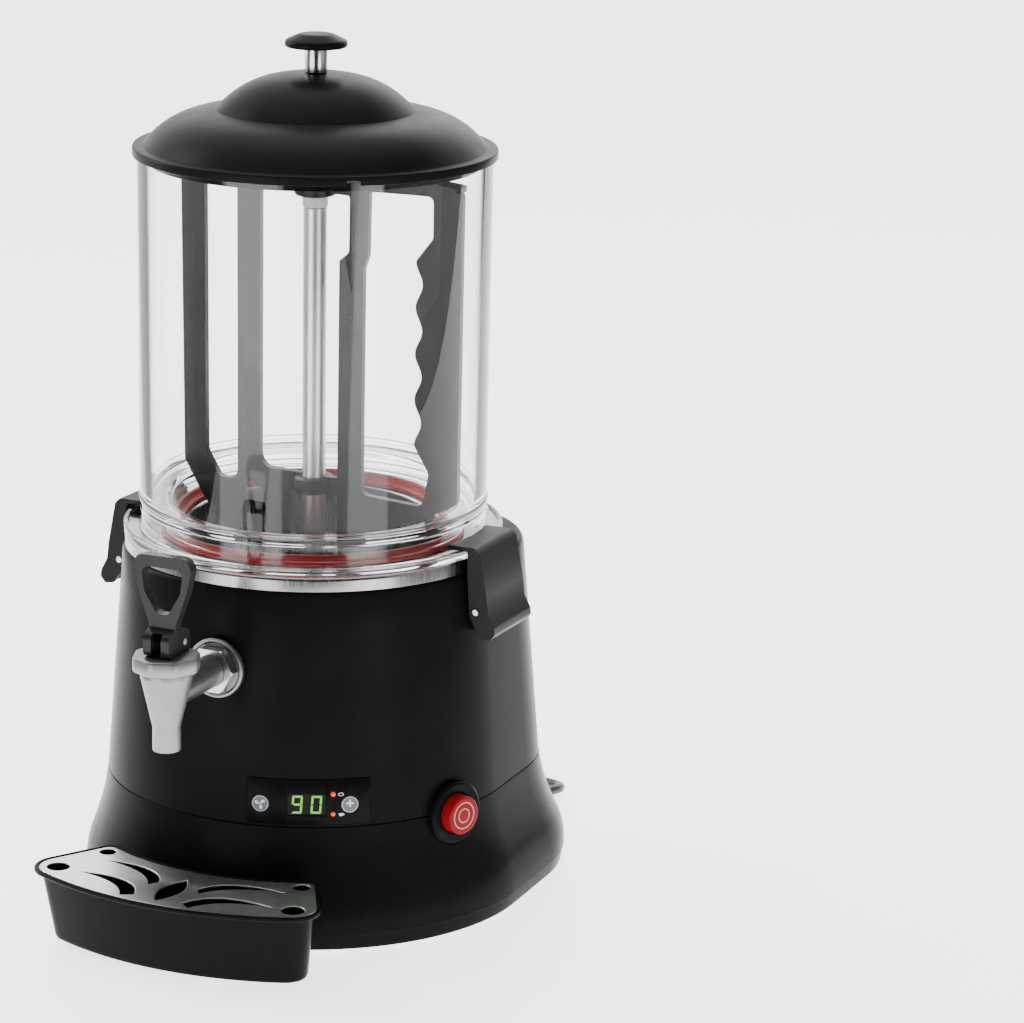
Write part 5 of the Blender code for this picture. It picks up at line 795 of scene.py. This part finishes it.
def stirrer_mark():
    """Three blades round a hub."""
    parts = []
    for k in range(3):
        blade = slab([[(0.5, 0.2), (1.6, 1.5), (3.2, 1.5), (3.9, 0.4), (3, -0.55), (1.5, -0.25)]], 0, 0.14)
        parts.append(turn(blade, Matrix.Rotation(tau * k / 3 + 0.5, 4, "Z")))
    parts.append(slab([circle((0, 0), 0.55, 20)], 0, 0.14))
    return merged(*parts)


def cup_mark():
    """A cup with its handle."""
    bowl_line = soft([(-1.5, 0.9), (-1.1, -1, 0.4), (0.9, -1, 0.4), (1.3, 0.9)], 3)
    handle_line = soft([(1.3, 0.6), (2.2, 0.5, 0.3), (2, -0.6, 0.3), (1.1, -0.5), (1.15, -0.2),
            (1.7, -0.25), (1.8, 0.2), (1.25, 0.25)], 2)
    return merged(slab([bowl_line], 0, 0.12), slab([handle_line], 0, 0.12))


def panel():
    """The control panel: film, keys, window, figures, lamps and marks."""
    window_hole, *lamp_holes = panel_holes()
    key_holes = []
    for _, bearing in KEYS:
        key_holes.append(turn(rod(6.1, (0, 0, 120), (0, 0, 145), 64), facing(bearing, PANEL_LEVEL)))
    strip = panel_band(-1.3, 0.4, 85, 115.5, 40.4, 48, 0.5)
    strip = carved(strip, [window_hole] + key_holes + lamp_holes)
    put("panel_film_strip", strip, "base", "film", ["control_panel"], 0.18, 2)

    display_at = beside(DISPLAY_SIDE)
    module = slab([rounded(-12.5, -7.3, 12.5, 7.3, 0.5)], 130, 137.63)
    turn(module, facing(display_at, PANEL_LEVEL))
    put("display_window", module, "base", "window", ["display_module"], 0.3, 2)
    for name, segments, x in (("tens", "abcdfg", -6.2), ("units", "abcdef", 6.4)):
        figure = shift(digit(segments, 6.9, 12.2, 1.35, 0.07), x, 0, 137.66)
        side_mark("display_" + name, figure, "base", "digit", display_at, PANEL_LEVEL)
    for name, z in LAMPS:
        lamp = turned([(0, 128.5), (1.6, 128.5), (1.6, 138.2, 0.6), (0, 138.6)], 4, 32)
        turn(lamp, facing(beside(LAMP_SIDE), z))
        put("lamp_" + name, lamp, "base", "lamp", ["led_" + name])

    for name, bearing in KEYS:
        cap = turned([(0, 137.43), (5.8, 137.43, 0.2), (5.8, KEY_TOP, 0.45), (0, KEY_TOP)], 4, 64)
        turn(cap, facing(bearing, PANEL_LEVEL))
        put("key_cap_" + name, cap, "key_" + name, "grey", ["key_" + name])
        rim = ring_mark(5.05, 0.28, KEY_TOP, KEY_TOP + 0.12)
        side_mark("key_rim_" + name, rim, "key_" + name, "print", bearing, PANEL_LEVEL)
    for (name, bearing), mark in zip(reversed(KEYS), (plus_mark(), stirrer_mark())):
        shift(mark, z=KEY_TOP)
        side_mark("key_mark_" + name, mark, "key_" + name, "print", bearing, PANEL_LEVEL)
    loop = turn(ring_mark(1.25, 0.42, 0, 0.12, 32), Matrix.Diagonal((1.25, 0.8, 1, 1)))
    for (name, z), mark in zip(LAMPS, (loop, cup_mark())):
        shift(mark, z=station(z)[0] + 0.38)
        side_mark("lamp_mark_" + name, mark, "base", "print", beside(MARK_SIDE), z)
    redo("circuit_board", "base", "board", 0.1, 1)


def switch():
    """The round switch on the seam: bezel, lit button and its rings."""
    place_at = facing(SWITCH_BEARING, SWITCH_LEVEL)
    rings = (("outer", 8.84), ("inner", 4.68))
    seat = 139.6
    bezel = turned([(0, 125.9), (17.5, 125.9, 0.6), (17.5, seat), (21.5, seat, 0.3),
            (21.5, seat + 3, 0.8), (20, seat + 4.5, 1.2), (14.8, seat + 3.9, 0.8),
            (13.3, seat + 3, 0.3), (13.3, 129), (0, 129)], 5, 96)
    put("switch_ring", turn(bezel, place_at), "base", "tray", ["switch_bezel"])
    profile = [(0, 132.5), (13, 132.5, 0.4), (13, SWITCH_TOP, 1.3)]
    for _, radius in rings:
        profile += [(radius + 0.75, SWITCH_TOP, 0.1), (radius + 0.5, SWITCH_TOP - 0.35),
                (radius - 0.5, SWITCH_TOP - 0.35), (radius - 0.75, SWITCH_TOP, 0.1)]
    profile.append((0, SWITCH_TOP))
    cap = turn(turned(profile, 4, 96), place_at)
    put("switch_cap", cap, "switch_button", "lens", ["switch_button"])
    for name, radius in rings:
        ring = turn(ring_mark(radius, 0.85, SWITCH_TOP - 0.36, SWITCH_TOP - 0.06), place_at)
        put("switch_mark_" + name, ring, "switch_button", "rose")


# Bowl and lid

def bowl():
    """The clear bowl, its red seal and the heated pan below."""
    wall = turned([
        (117.5, 505.7, 1.3), (116.4, 274.4, 0.4), (117.4, 273.6, 0.5), (117.4, 271.4, 0.5),
        (116.4, 270.6, 0.4), (116.4, 252, 1), (124.6, 252, 0.7), (124.6, 255, 0.7),
        (127.6, 255, 0.9), (127.6, 248.8, 0.7), (112.9, 248.8, 0.6), (112.9, 266, 1.6),
        (100.3, 266, 1.2), (100.3, 252.3, 0.9), (96.8, 252.3, 0.9), (96.8, 270, 3.2),
        (112.9, 270, 2.4), (114, 505.7, 1.1)], 6, 192)
    put("bowl_wall", wall, "base", "clear", ["bowl"])
    seal = turned([(88, 248.8, 0.5), (101, 248.8, 0.5), (101, 252, 0.9), (96.4, 252, 0.3),
            (96.1, 256.2, 0.9), (93.1, 256.2, 0.9), (92.8, 252, 0.5), (88, 252, 0.9)], 4, 160)
    put("seal_ring", seal, "base", "seal", ["bowl_seal"])
    pan = turned([(5.5, 208), (86, 208, 7), (86, 248.5, 2.5), (126.7, 248.5, 2.4), (126.7, 239.3),
            (125.2, 239.3), (125.2, 247, 1.2), (87.5, 247, 1.2), (87.5, 206.5, 8), (5.5, 206.5)], 8, 176)
    pan = carved(pan, [rod(7, (0, -68, 204), (0, -68, 211), 48)])
    put("pan_shell", pan, "base", "pan", ["heating_pan"])


def lid():
    """The domed lid with its knob, neck and screw."""
    outer = []
    for i in range(1, 19):
        r = 66 * i / 18
        outer.append((r, 557 - 24 * (r / 66) ** 3, 0))
    for i in range(1, 13):
        share = i / 12
        outer.append((66 + 48 * share, 533 - 24 * (0.3 * share + 0.7 * share ** 3.2), 0))
    inner = [(r, z - 2.5, 0) for r, z, _ in reversed(outer) if 6 < r < 108]
    outer[-1] = (114, 509, 1.2)
    rim = [(120.6, 509, 1.3), (120.6, 503, 0.6), (118.2, 503, 0.6), (118.2, 506),
           (111.5, 506), (111.5, 498, 0.7), (109, 498, 0.7), (109, 509.6)]
    dome = turned([(2.3, 557)] + outer + rim + inner + [(5.5, 554.4), (2.3, 554.4)], 4, 176)
    notch = turn(box((-4.5, -2, 118), (4.5, 4, 123)), facing(39.3, 503))
    put("lid_dome", carved(dome, [notch]), "lid", "lid", ["lid"])
    neck = turned([(2.3, 557.3), (7.5, 557.3, 0.5), (7.5, 573.8, 0.5), (2.3, 573.8)], 4, 64)
    put("knob_neck", neck, "lid", "steel", ["lid_knob_stem"])
    knob = turned([(0, 583.1), (11, 582.9, 9), (20.8, 578.4, 4), (20.6, 574.1, 1.6),
            (9, 574.1, 0.4), (8.4, 574.6), (2.3, 574.6), (2.3, 578.6), (0, 578.6)], 7, 96)
    put("knob_disc", knob, "lid", "lid", ["lid_knob"])
    screw = [(0, 551.2), (5, 551.2, 0.8), (5, 554.2, 0.3), (2, 554.2)]
    for i in range(20):
        z = 556 + i * 0.95
        screw += [(2, z), (1.75, z + 0.47)]
    screw += [(2, 575), (1.4, 575.2), (0, 575.2)]
    cross = [box((-0.5, -3.2, 551), (0.5, 3.2, 552.5)), box((-3.2, -0.5, 551), (3.2, 0.5, 552.5))]
    put("knob_screw", carved(turned(screw, 3, 48), cross), "lid", "zinc", ["lid_screw"])


# Column, agitator and drive

# The frame's corners as shares of its reach and height, with their radii as shares of the reach
REACH = 103.7
FRAME_FOOT = 212
FRAME_HEIGHT = 276
FRAME_SHARES = (
    (-1, 1, 0.075), (1.042, 1, 0.055), (1.034, 0.236, 0.055), (0.915, 0.208, 0.04),
    (0.72, 0.176, 0.05), (0.58, 0.145, 0.05), (0.53, 0.10, 0.06), (0.50, 0, 0.04),
    (0.185, 0, 0.03), (0.185, 0.208, 0.02), (-0.175, 0.208, 0.02), (-0.175, 0, 0.03),
    (-0.363, 0, 0.03), (-0.363, 0.208, 0.075), (-0.522, 0.208, 0.075), (-0.522, 0, 0.03),
    (-0.64, 0, 0.03), (-0.665, 0.085, 0.05), (-0.835, 0.157, 0.03), (-0.978, 0.238, 0.04))
LEFT_WINDOW = ((-0.813, 0.946, 0.03), (-0.805, 0.267, 0.09), (-0.70, 0.208, 0.05), (-0.559, 0.208, 0.07),
        (-0.563, 0.946, 0.03))
MIDDLE_WINDOW = ((-0.392, 0.946, 0.03), (-0.393, 0.25, 0.09), (0.185, 0.25, 0.02), (0.188, 0.787, 0.02),
        (0.258, 0.809, 0.05), (0.261, 0.946, 0.02))
RIGHT_LOW = ((0.357, 0.218, 0.06), (0.80, 0.214, 0.06), (0.84, 0.30, 0.07))
RIGHT_HIGH = ((0.85, 0.872, 0.03), (0.85, 0.972, 0.04), (0.398, 0.962, 0.02), (0.392, 0.806, 0.03),
        (0.361, 0.772, 0.03))


def framed(shares):
    corners = [(x * REACH, FRAME_FOOT + z * FRAME_HEIGHT, r * REACH) for x, z, r in shares]
    return soft(corners, 7)


def stirring(part, bm, nodes=(), bevel=0, segments=3):
    put("stirring_" + part, bm, "agitator", "stir", nodes, bevel, segments)


def agitator():
    """The windowed frame with its top bar, hub, collar and ribs."""
    waves = []
    for i in range(4 * 14 + 1):
        waves.append((0.758 - 0.024 * cos(tau * i / 14), 0.3638 + 0.1123 * i / 14, 0))
    right_window = RIGHT_LOW + tuple(waves) + RIGHT_HIGH
    outlines = [framed(shares) for shares in (FRAME_SHARES, LEFT_WINDOW, MIDDLE_WINDOW, right_window)]
    bores = [rod(9, (0, 0, 205), (0, 0, 290), 64), rod(8, (0, 0, 470), (0, 0, 500), 48)]
    stirring("frame", carved(slab(outlines, -2.5, 2.5, "XZ"), bores), ["agitator"], 0.9)
    ends = [(108, 7.3, 3.6), (-103.7, 7.3, 3.6), (-103.7, -7.3, 3.6), (108, -7.3, 3.6)]
    stirring("top", slab([soft(ends, 8), circle((0, 0), 8, 48)], 486.3, 489.7), (), 0.7)
    stirring("hub", turned([(4.3, 471), (14, 471, 1), (14, 492.7), (16.5, 492.7, 0.8),
            (16.5, 498, 1.6), (0, 498), (0, 491.6), (4.3, 491.6)], 5, 72))
    stirring("collar", turned([(9, 269.5, 0.5), (13.5, 269.5, 1), (13.5, 279.5, 1),
            (9, 279.5, 0.5)], 4, 72))
    webs = []
    for side in (-1, 1):
        rib = [(side * 13, 486.5), (side * 30, 486.5), (side * 13.5, 474.5)]
        webs += [slab([rib], -5.6, -4, "XZ"), slab([rib], 4, 5.6, "XZ")]
    stirring("ribs", merged(*webs), (), 0.3, 2)


def column():
    """The column with its bearing, the shaft, the gear motor and the heater."""
    pipe = turned([(5.5, 208.3), (12, 208.3, 0.4), (12, 210.3, 0.6), (8, 210.3),
            (8, 463, 0.8), (5.5, 463, 0.6)], 4, 72)
    put("column_pipe", pipe, "base", "column", ["column_tube"])
    bush = turned([(4.3, 463.3), (8.6, 463.3, 0.4), (8.6, 470.3, 0.9), (4.3, 470.3, 0.4)], 4, 64)
    put("column_bearing", bush, "base", "bush", ["column_bush"])
    shaft = turned([(0, 162.6), (7, 162.6, 0.6), (7, 175.6, 0.6), (4, 175.6),
            (4, 491.3, 0.8), (0, 491.3)], 4, 48)
    shaft = carved(shaft, [rod(1.2, (0, -8, 169), (0, 8, 169), 24)])
    put("shaft_rod", shaft, "agitator", "steel", ["drive_shaft"])

    case = slab([soft([(34, 28, 6), (-34, 28, 6), (-34, -28, 6), (34, -28, 6)], 6)], 121.3, 155.3)
    put("gearbox_case", case, "base", "zinc", ["gear_motor"], 1.2, 3)
    can = turned([(0, 62.6), (6, 62.6), (6, 62.3, 0.1), (25, 62.3, 2), (27, 65, 2),
            (27, 118), (27, 121.6), (0, 121.6)], 4, 72)
    put("motor_can", can, "base", "zinc")
    boss = turned([(0, 155.2), (9, 155.2), (9, 162.3, 0.8), (0, 162.3)], 4, 48)
    put("gearbox_boss", boss, "base", "satin")
    screws = []
    for x in (-28, 28):
        for y in (-22, 22):
            screw = turned([(0, 155.2), (3.2, 155.2), (3.2, 156.9, 0.7), (0, 157.3)], 4, 24)
            screws.append(shift(screw, x, y))
    put("gearbox_screws", merged(*screws), "base", "steel")
    redo("motor_bracket", "base", "zinc", 0.8, 3)

    heater = spin(circle((43, 202.2), 4, 20), 96)
    put("heater_ring", heater, "base", "satin", ["heater_element"])
    disc = turned([(0, 196.2), (6.5, 196.2, 0.4), (6.5, 198.5), (8, 198.5, 0.4),
            (8, 206.2, 0.3), (0, 206.2)], 4, 48)
    put("thermostat_disc", shift(disc, 66), "base", "zinc", ["thermostat"])


# Latches

def latches():
    """Both latches with their brackets and pins."""
    for name, x in (("right", 135), ("left", -135)):
        redo("latch_" + name, "latch_" + name, "soft", 0.8, 4)
        redo("latch_bracket_" + name, "base", "black", 0.5, 3)
        pin = rod(2.5, (x, -29.4, 214.7), (x, 29.4, 214.7), 40, 0.7)
        put("latch_pin_rod_" + name, pin, "base", "steel", ["latch_pin_" + name])


# Tap

def at_tap(bm):
    return shift(bm, 0, TAP_Y)


def along(profile, steps=72):
    """A solid turned round the tap's barrel, from (radius, distance to the front)."""
    return turn(spin(profile, steps), facing(0, TAP_LEVEL))


def tap_shell():
    """The cone with its mouth, and the barrel that leads into it."""
    cone = at_tap(turned([
        (8, 202), (16.8, 202, 0.6), (16.8, 198.6, 1.4), (9.4, 166.2, 0.5), (9.1, 165.5),
        (9.1, 149, 0.9), (6.5, 149, 0.5), (6.5, 170), (5, 172), (5, 176), (8, 176)], 5, 96))
    barrel = along([(6, 112), (10.5, 112), (10.5, 193), (6, 193)])
    inside = at_tap(spin([(0, 150), (8.5, 150), (8.5, 201), (0, 201)], 72))
    barrel = carved(barrel, [inside])
    cone = carved(cone, [rod(6, (0, -112, TAP_LEVEL), (0, TAP_Y, TAP_LEVEL), 48)])
    return merged(cone, barrel)


def bonnet_nut():
    """A nut with eight sides and rounded corners."""
    step = tau / 8
    rings = []
    for radius, z in ((20.6, 202.3), (22, 202.9), (22.5, 204.2), (22.5, 211.2), (22, 212.4), (20.6, 213)):
        ring = []
        for i in range(96):
            a = tau * i / 96
            flat = radius * cos(step / 2) / cos(a % step - step / 2)
            reach = min(flat, radius * 0.972)
            ring.append((reach * cos(a), reach * sin(a), z))
        rings.append(ring)
    return at_tap(carved(loft(rings), [rod(3.5, (0, 0, 200), (0, 0, 215), 40)]))


def hex_nut(near):
    """The hexagon nut with chamfered corners, from a distance to the front on."""
    outlines = [circle((0, 0), 16.5, 6), circle((0, 0), 10.8, 48)]
    nut = turn(slab(outlines, near, near + 8), facing(0, TAP_LEVEL))
    chamfer = along([(0, near - 0.5), (15.6, near - 0.5), (16.6, near + 1.2), (16.6, near + 6.6),
            (15.3, near + 8.5), (0, near + 8.5)])
    return carved(nut, [chamfer], "INTERSECT")


def tap_spring():
    """The wire of the spring, from the stem's collar to the bonnet nut."""
    low, high = 187.3, 201.3
    count = 5 * 28
    wire = []
    for i in range(count + 1):
        a = tau * i / 28
        wire.append((5.2 * cos(a), TAP_Y + 5.2 * sin(a), low + (high - low) * i / count))
    return tube(wire, 0.7, 12)


def tap():
    """The lever tap with its nuts, stem, cup and spring."""
    put("tap_cone", tap_shell(), "base", "satin", ["tap_body"])
    put("tap_cap_nut", bonnet_nut(), "base", "satin", ["tap_bonnet_nut"], 0.25, 2)
    near = 133.6
    flange = soft([(10.8, near), (20, near, 0.3), (20, near + 3.5, 1), (18.2, near + 3.5, 0.7),
            (16.8, near + 1.75, 0.6), (10.8, near + 1.75)], 4)
    put("tap_flange_disc", along(flange, 96), "base", "satin", ["tap_flange"])
    put("tap_hex", hex_nut(near + 2.05), "base", "steel", ["tap_hex_nut"], 0.3, 2)
    redo("tap_lock_nut", "base", "steel", 0.5, 2)
    redo("tap_stem", "tap_stem", "steel", 0.3, 3)
    cup = turned([(0, 176.3), (5.4, 176.3, 0.8), (6.6, 177.5, 0.8), (6.6, 181, 0.5),
            (5.6, 181), (0, 181)], 4, 48)
    put("tap_cup", at_tap(cup), "tap_stem", "seal", ["tap_seat_cup"])
    spring = put("tap_coil_spring", tap_spring(), "base", "zinc", ["tap_spring"])
    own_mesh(spring)
    pin = rod(2.3, (-9.8, -192, 220.3), (9.8, -192, 220.3), 40, 0.6)
    put("tap_pin", pin, "tap_stem", "zinc", ["tap_pivot_pin"])
    redo("tap_handle", "tap_handle", "gloss", 0.9, 4)
    redo("outlet_elbow", "base", "rubber", 0.3, 2)


# Tray

# Inner and outer radius, half its angle, radii of the inner and outer corners
TRAY = (156.3, 226, radians(29.5), 9, 20)
DEPTH = 69.7


def polar(radius, angle):
    return (radius * sin(angle), -radius * cos(angle))


def tray_plan(inset, foot=0):
    """The tray's outline, drawn in by an inset and in front by a foot, always with the same count."""
    inner, outer, half, corner_in, corner_out = TRAY
    half -= foot / 2 / outer
    outer -= foot
    hub_out, hub_in = outer - corner_out, inner + corner_in
    swing_out = half - asin(corner_out / hub_out)
    swing_in = half - asin(corner_in / hub_in)
    square = half + pi / 2
    right = []
    for hub, swing, radius, start, end in ((hub_out, swing_out, corner_out - inset, swing_out, square),
            (hub_in, swing_in, corner_in - inset, square, pi + swing_in)):
        centre = polar(hub, swing)
        for i in range(11):
            x, y = polar(radius, start + (end - start) * i / 10)
            right.append((centre[0] + x, centre[1] + y))
    left = [(-x, y) for x, y in reversed(right)]
    shares = [1 - i / 24 for i in range(1, 48)]
    middle_in = [polar(inner + inset, swing_in * share) for share in shares]
    middle_out = [polar(outer - inset, -swing_out * share) for share in shares]
    return right + middle_in + left + middle_out


def tray_rings(levels):
    return [[(x, y, z) for x, y in tray_plan(inset, foot)] for inset, foot, z in levels]


def grate_point(bearing, depth, side=1):
    """A point of the grate from shares of the tray's half angle and depth."""
    return polar(TRAY[0] + depth * DEPTH, side * bearing * TRAY[2])


def bent(start, control, end, steps=14):
    """Points on a curve with one control point, without its end."""
    points = []
    for i in range(steps):
        t = i / steps
        points.append(tuple((1 - t) ** 2 * a + 2 * t * (1 - t) * b + t * t * c
                for a, b, c in zip(start, control, end)))
    return points


def grate():
    """The grate's sheet with its middle eye, round holes and leaves."""
    outlines = [tray_plan(3.3)]
    front, rear = grate_point(0, 0.851), grate_point(0, 0.257)
    middle = (front[1] + rear[1]) / 2
    bulge = 0.214 * DEPTH
    outlines.append(bent(front, (bulge, middle), rear) + bent(rear, (-bulge, middle), front))
    for side in (-1, 1):
        for bearing, depth, radius in ((0.863, 0.171, 0.079), (0.828, 0.767, 0.109)):
            outlines.append(circle(grate_point(bearing, depth, side), radius * DEPTH, 40))
        for shares in (((0.737, 0.313), (0.289, 0.079), (0.151, 0.421), (0.187, 0.526), (0.34, 0.234)),
                ((0.687, 0.699), (0.283, 0.412), (0.159, 0.816), (0.223, 0.897), (0.345, 0.601))):
            tip, upper, blunt_in, blunt_out, lower = [grate_point(*s, side) for s in shares]
            outlines.append(bent(tip, upper, blunt_in) + [blunt_in] + bent(blunt_out, lower, tip))
    return slab(outlines, 51, 52.5)


def tray():
    """The drip tray with its tongue under the base, and the grate."""
    levels = [(7.5, 7, 3.5), (6, 7, 4.2), (5.3, 7, 5.4)]
    for i in range(8, 0, -1):
        levels.append((5, 7 * i / 8, 50 - 43 * i / 8))
    levels += [(5, 0, 49.6), (4.6, 0, 50), (0.5, 0, 50), (0, 0, 50.7), (0, 0, 52.2),
            (0.45, 0, 52.8), (1.2, 0, 53)]
    levels += [(2.2, 0, 53), (2.8, 0, 52.7), (3, 0, 52.2), (3, 0, 50.7), (7, 0, 50.7),
            (7, 0.6, 48), (7, 7, 8), (8, 7, 6.2), (8.6, 7, 5.5)]
    put("tray_shell", loft(tray_rings(levels)), "drip_tray", "tray", ["drip_tray"])
    tongue = slab([soft([(-30, -163), (30, -163), (30, -126.3, 4), (-30, -126.3, 4)], 6)], 0.5, 2.5)
    put("tray_tongue", tongue, "drip_tray", "tray", (), 0.4, 2)
    put("grate_sheet", grate(), "drip_grate", "grate", ["drip_grate"], 0.35, 2)


# Light and floor

# Studio brightness along directions: direction, start, end, brightness at both ends. The first
# two multiply to the wall behind, the third is the ceiling and the last two are softboxes in front
WORLD_TERMS = (
    ((0, 1, 0), -0.55, 0.25, 0.20, 2.4),
    ((1, 0, 0), -0.15, 0.45, 1, 0.12),
    ((0, 0, 1), 0.15, 0.75, 0, 0.12),
    ((-0.242, -0.935, -0.26), 0.925, 0.94, 0, 5),
    ((0.862, -0.435, -0.26), 0.966, 0.976, 0, 5))
# The floor fills the picture and ends where it would shine in the bowl
FLOOR_PLAN = ((0.8, -0.85), (0.8, 11), (-8.5, 11), (-0.45, -0.4), (-0.45, -0.85))


def world_term(tree, direction, start, end, low, high):
    """A smooth change of brightness along a direction of the surroundings."""
    spot = tree.nodes.new("ShaderNodeTexCoord")
    along_it = tree.nodes.new("ShaderNodeVectorMath")
    along_it.operation = "DOT_PRODUCT"
    along_it.inputs[1].default_value = Vector(direction).normalized()
    tree.links.new(spot.outputs["Generated"], along_it.inputs[0])
    ramp = ranged(tree, along_it.outputs["Value"], start, end, low, high)
    ramp.interpolation_type = "SMOOTHSTEP"
    return ramp.outputs["Result"]


def joined(tree, operation, first, second):
    """Two values brought together by a math node."""
    made = tree.nodes.new("ShaderNodeMath")
    made.operation = operation
    tree.links.new(first, made.inputs[0])
    tree.links.new(second, made.inputs[1])
    return made.outputs[0]


def stage():
    """The floor, the studio around it and the lights."""
    bm = slab([FLOOR_PLAN], -0.02, 0)
    mesh = bpy.data.meshes.new("floor")
    bm.to_mesh(mesh)
    bm.free()
    mesh.materials.append(LOOKS["floor"].material)
    floor = linked("floor", mesh)

    world = bpy.data.worlds.new("studio")
    world.use_nodes = True
    tree = world.node_tree
    terms = [world_term(tree, *term) for term in WORLD_TERMS]
    level = joined(tree, "MULTIPLY", terms[0], terms[1])
    for term in terms[2:]:
        level = joined(tree, "MAXIMUM", level, term)
    background = tree.nodes["Background"]
    background.inputs["Color"].default_value = (1, 1, 1, 1)
    tree.links.new(level, background.inputs["Strength"])
    bpy.context.scene.world = world
    target = Vector((0, AXIS_Y, 0.28))
    for name, place_at, size, power in (
            ("right", (1.9, 0.15, 0.9), (1.5, 1.6), 3), ("left", (-1.7, -0.1, 1.1), (0.4, 1.5), 22),
            ("rear", (0.3, 2.2, 1.6), (2.6, 1.4), 26), ("top", (0, 0.1, 2.4), (2, 2), 16)):
        data = bpy.data.lights.new(name, "AREA")
        data.shape = "RECTANGLE"
        data.size, data.size_y = size
        data.energy = power
        lamp = linked(name, data)
        lamp.location = place_at
        lamp.rotation_euler = (target - Vector(place_at)).to_track_quat("-Z", "Y").to_euler()


aim_camera()
cord_pieces()
housing()
panel()
switch()
bowl()
lid()
agitator()
column()
latches()
tap()
tray()
stage()
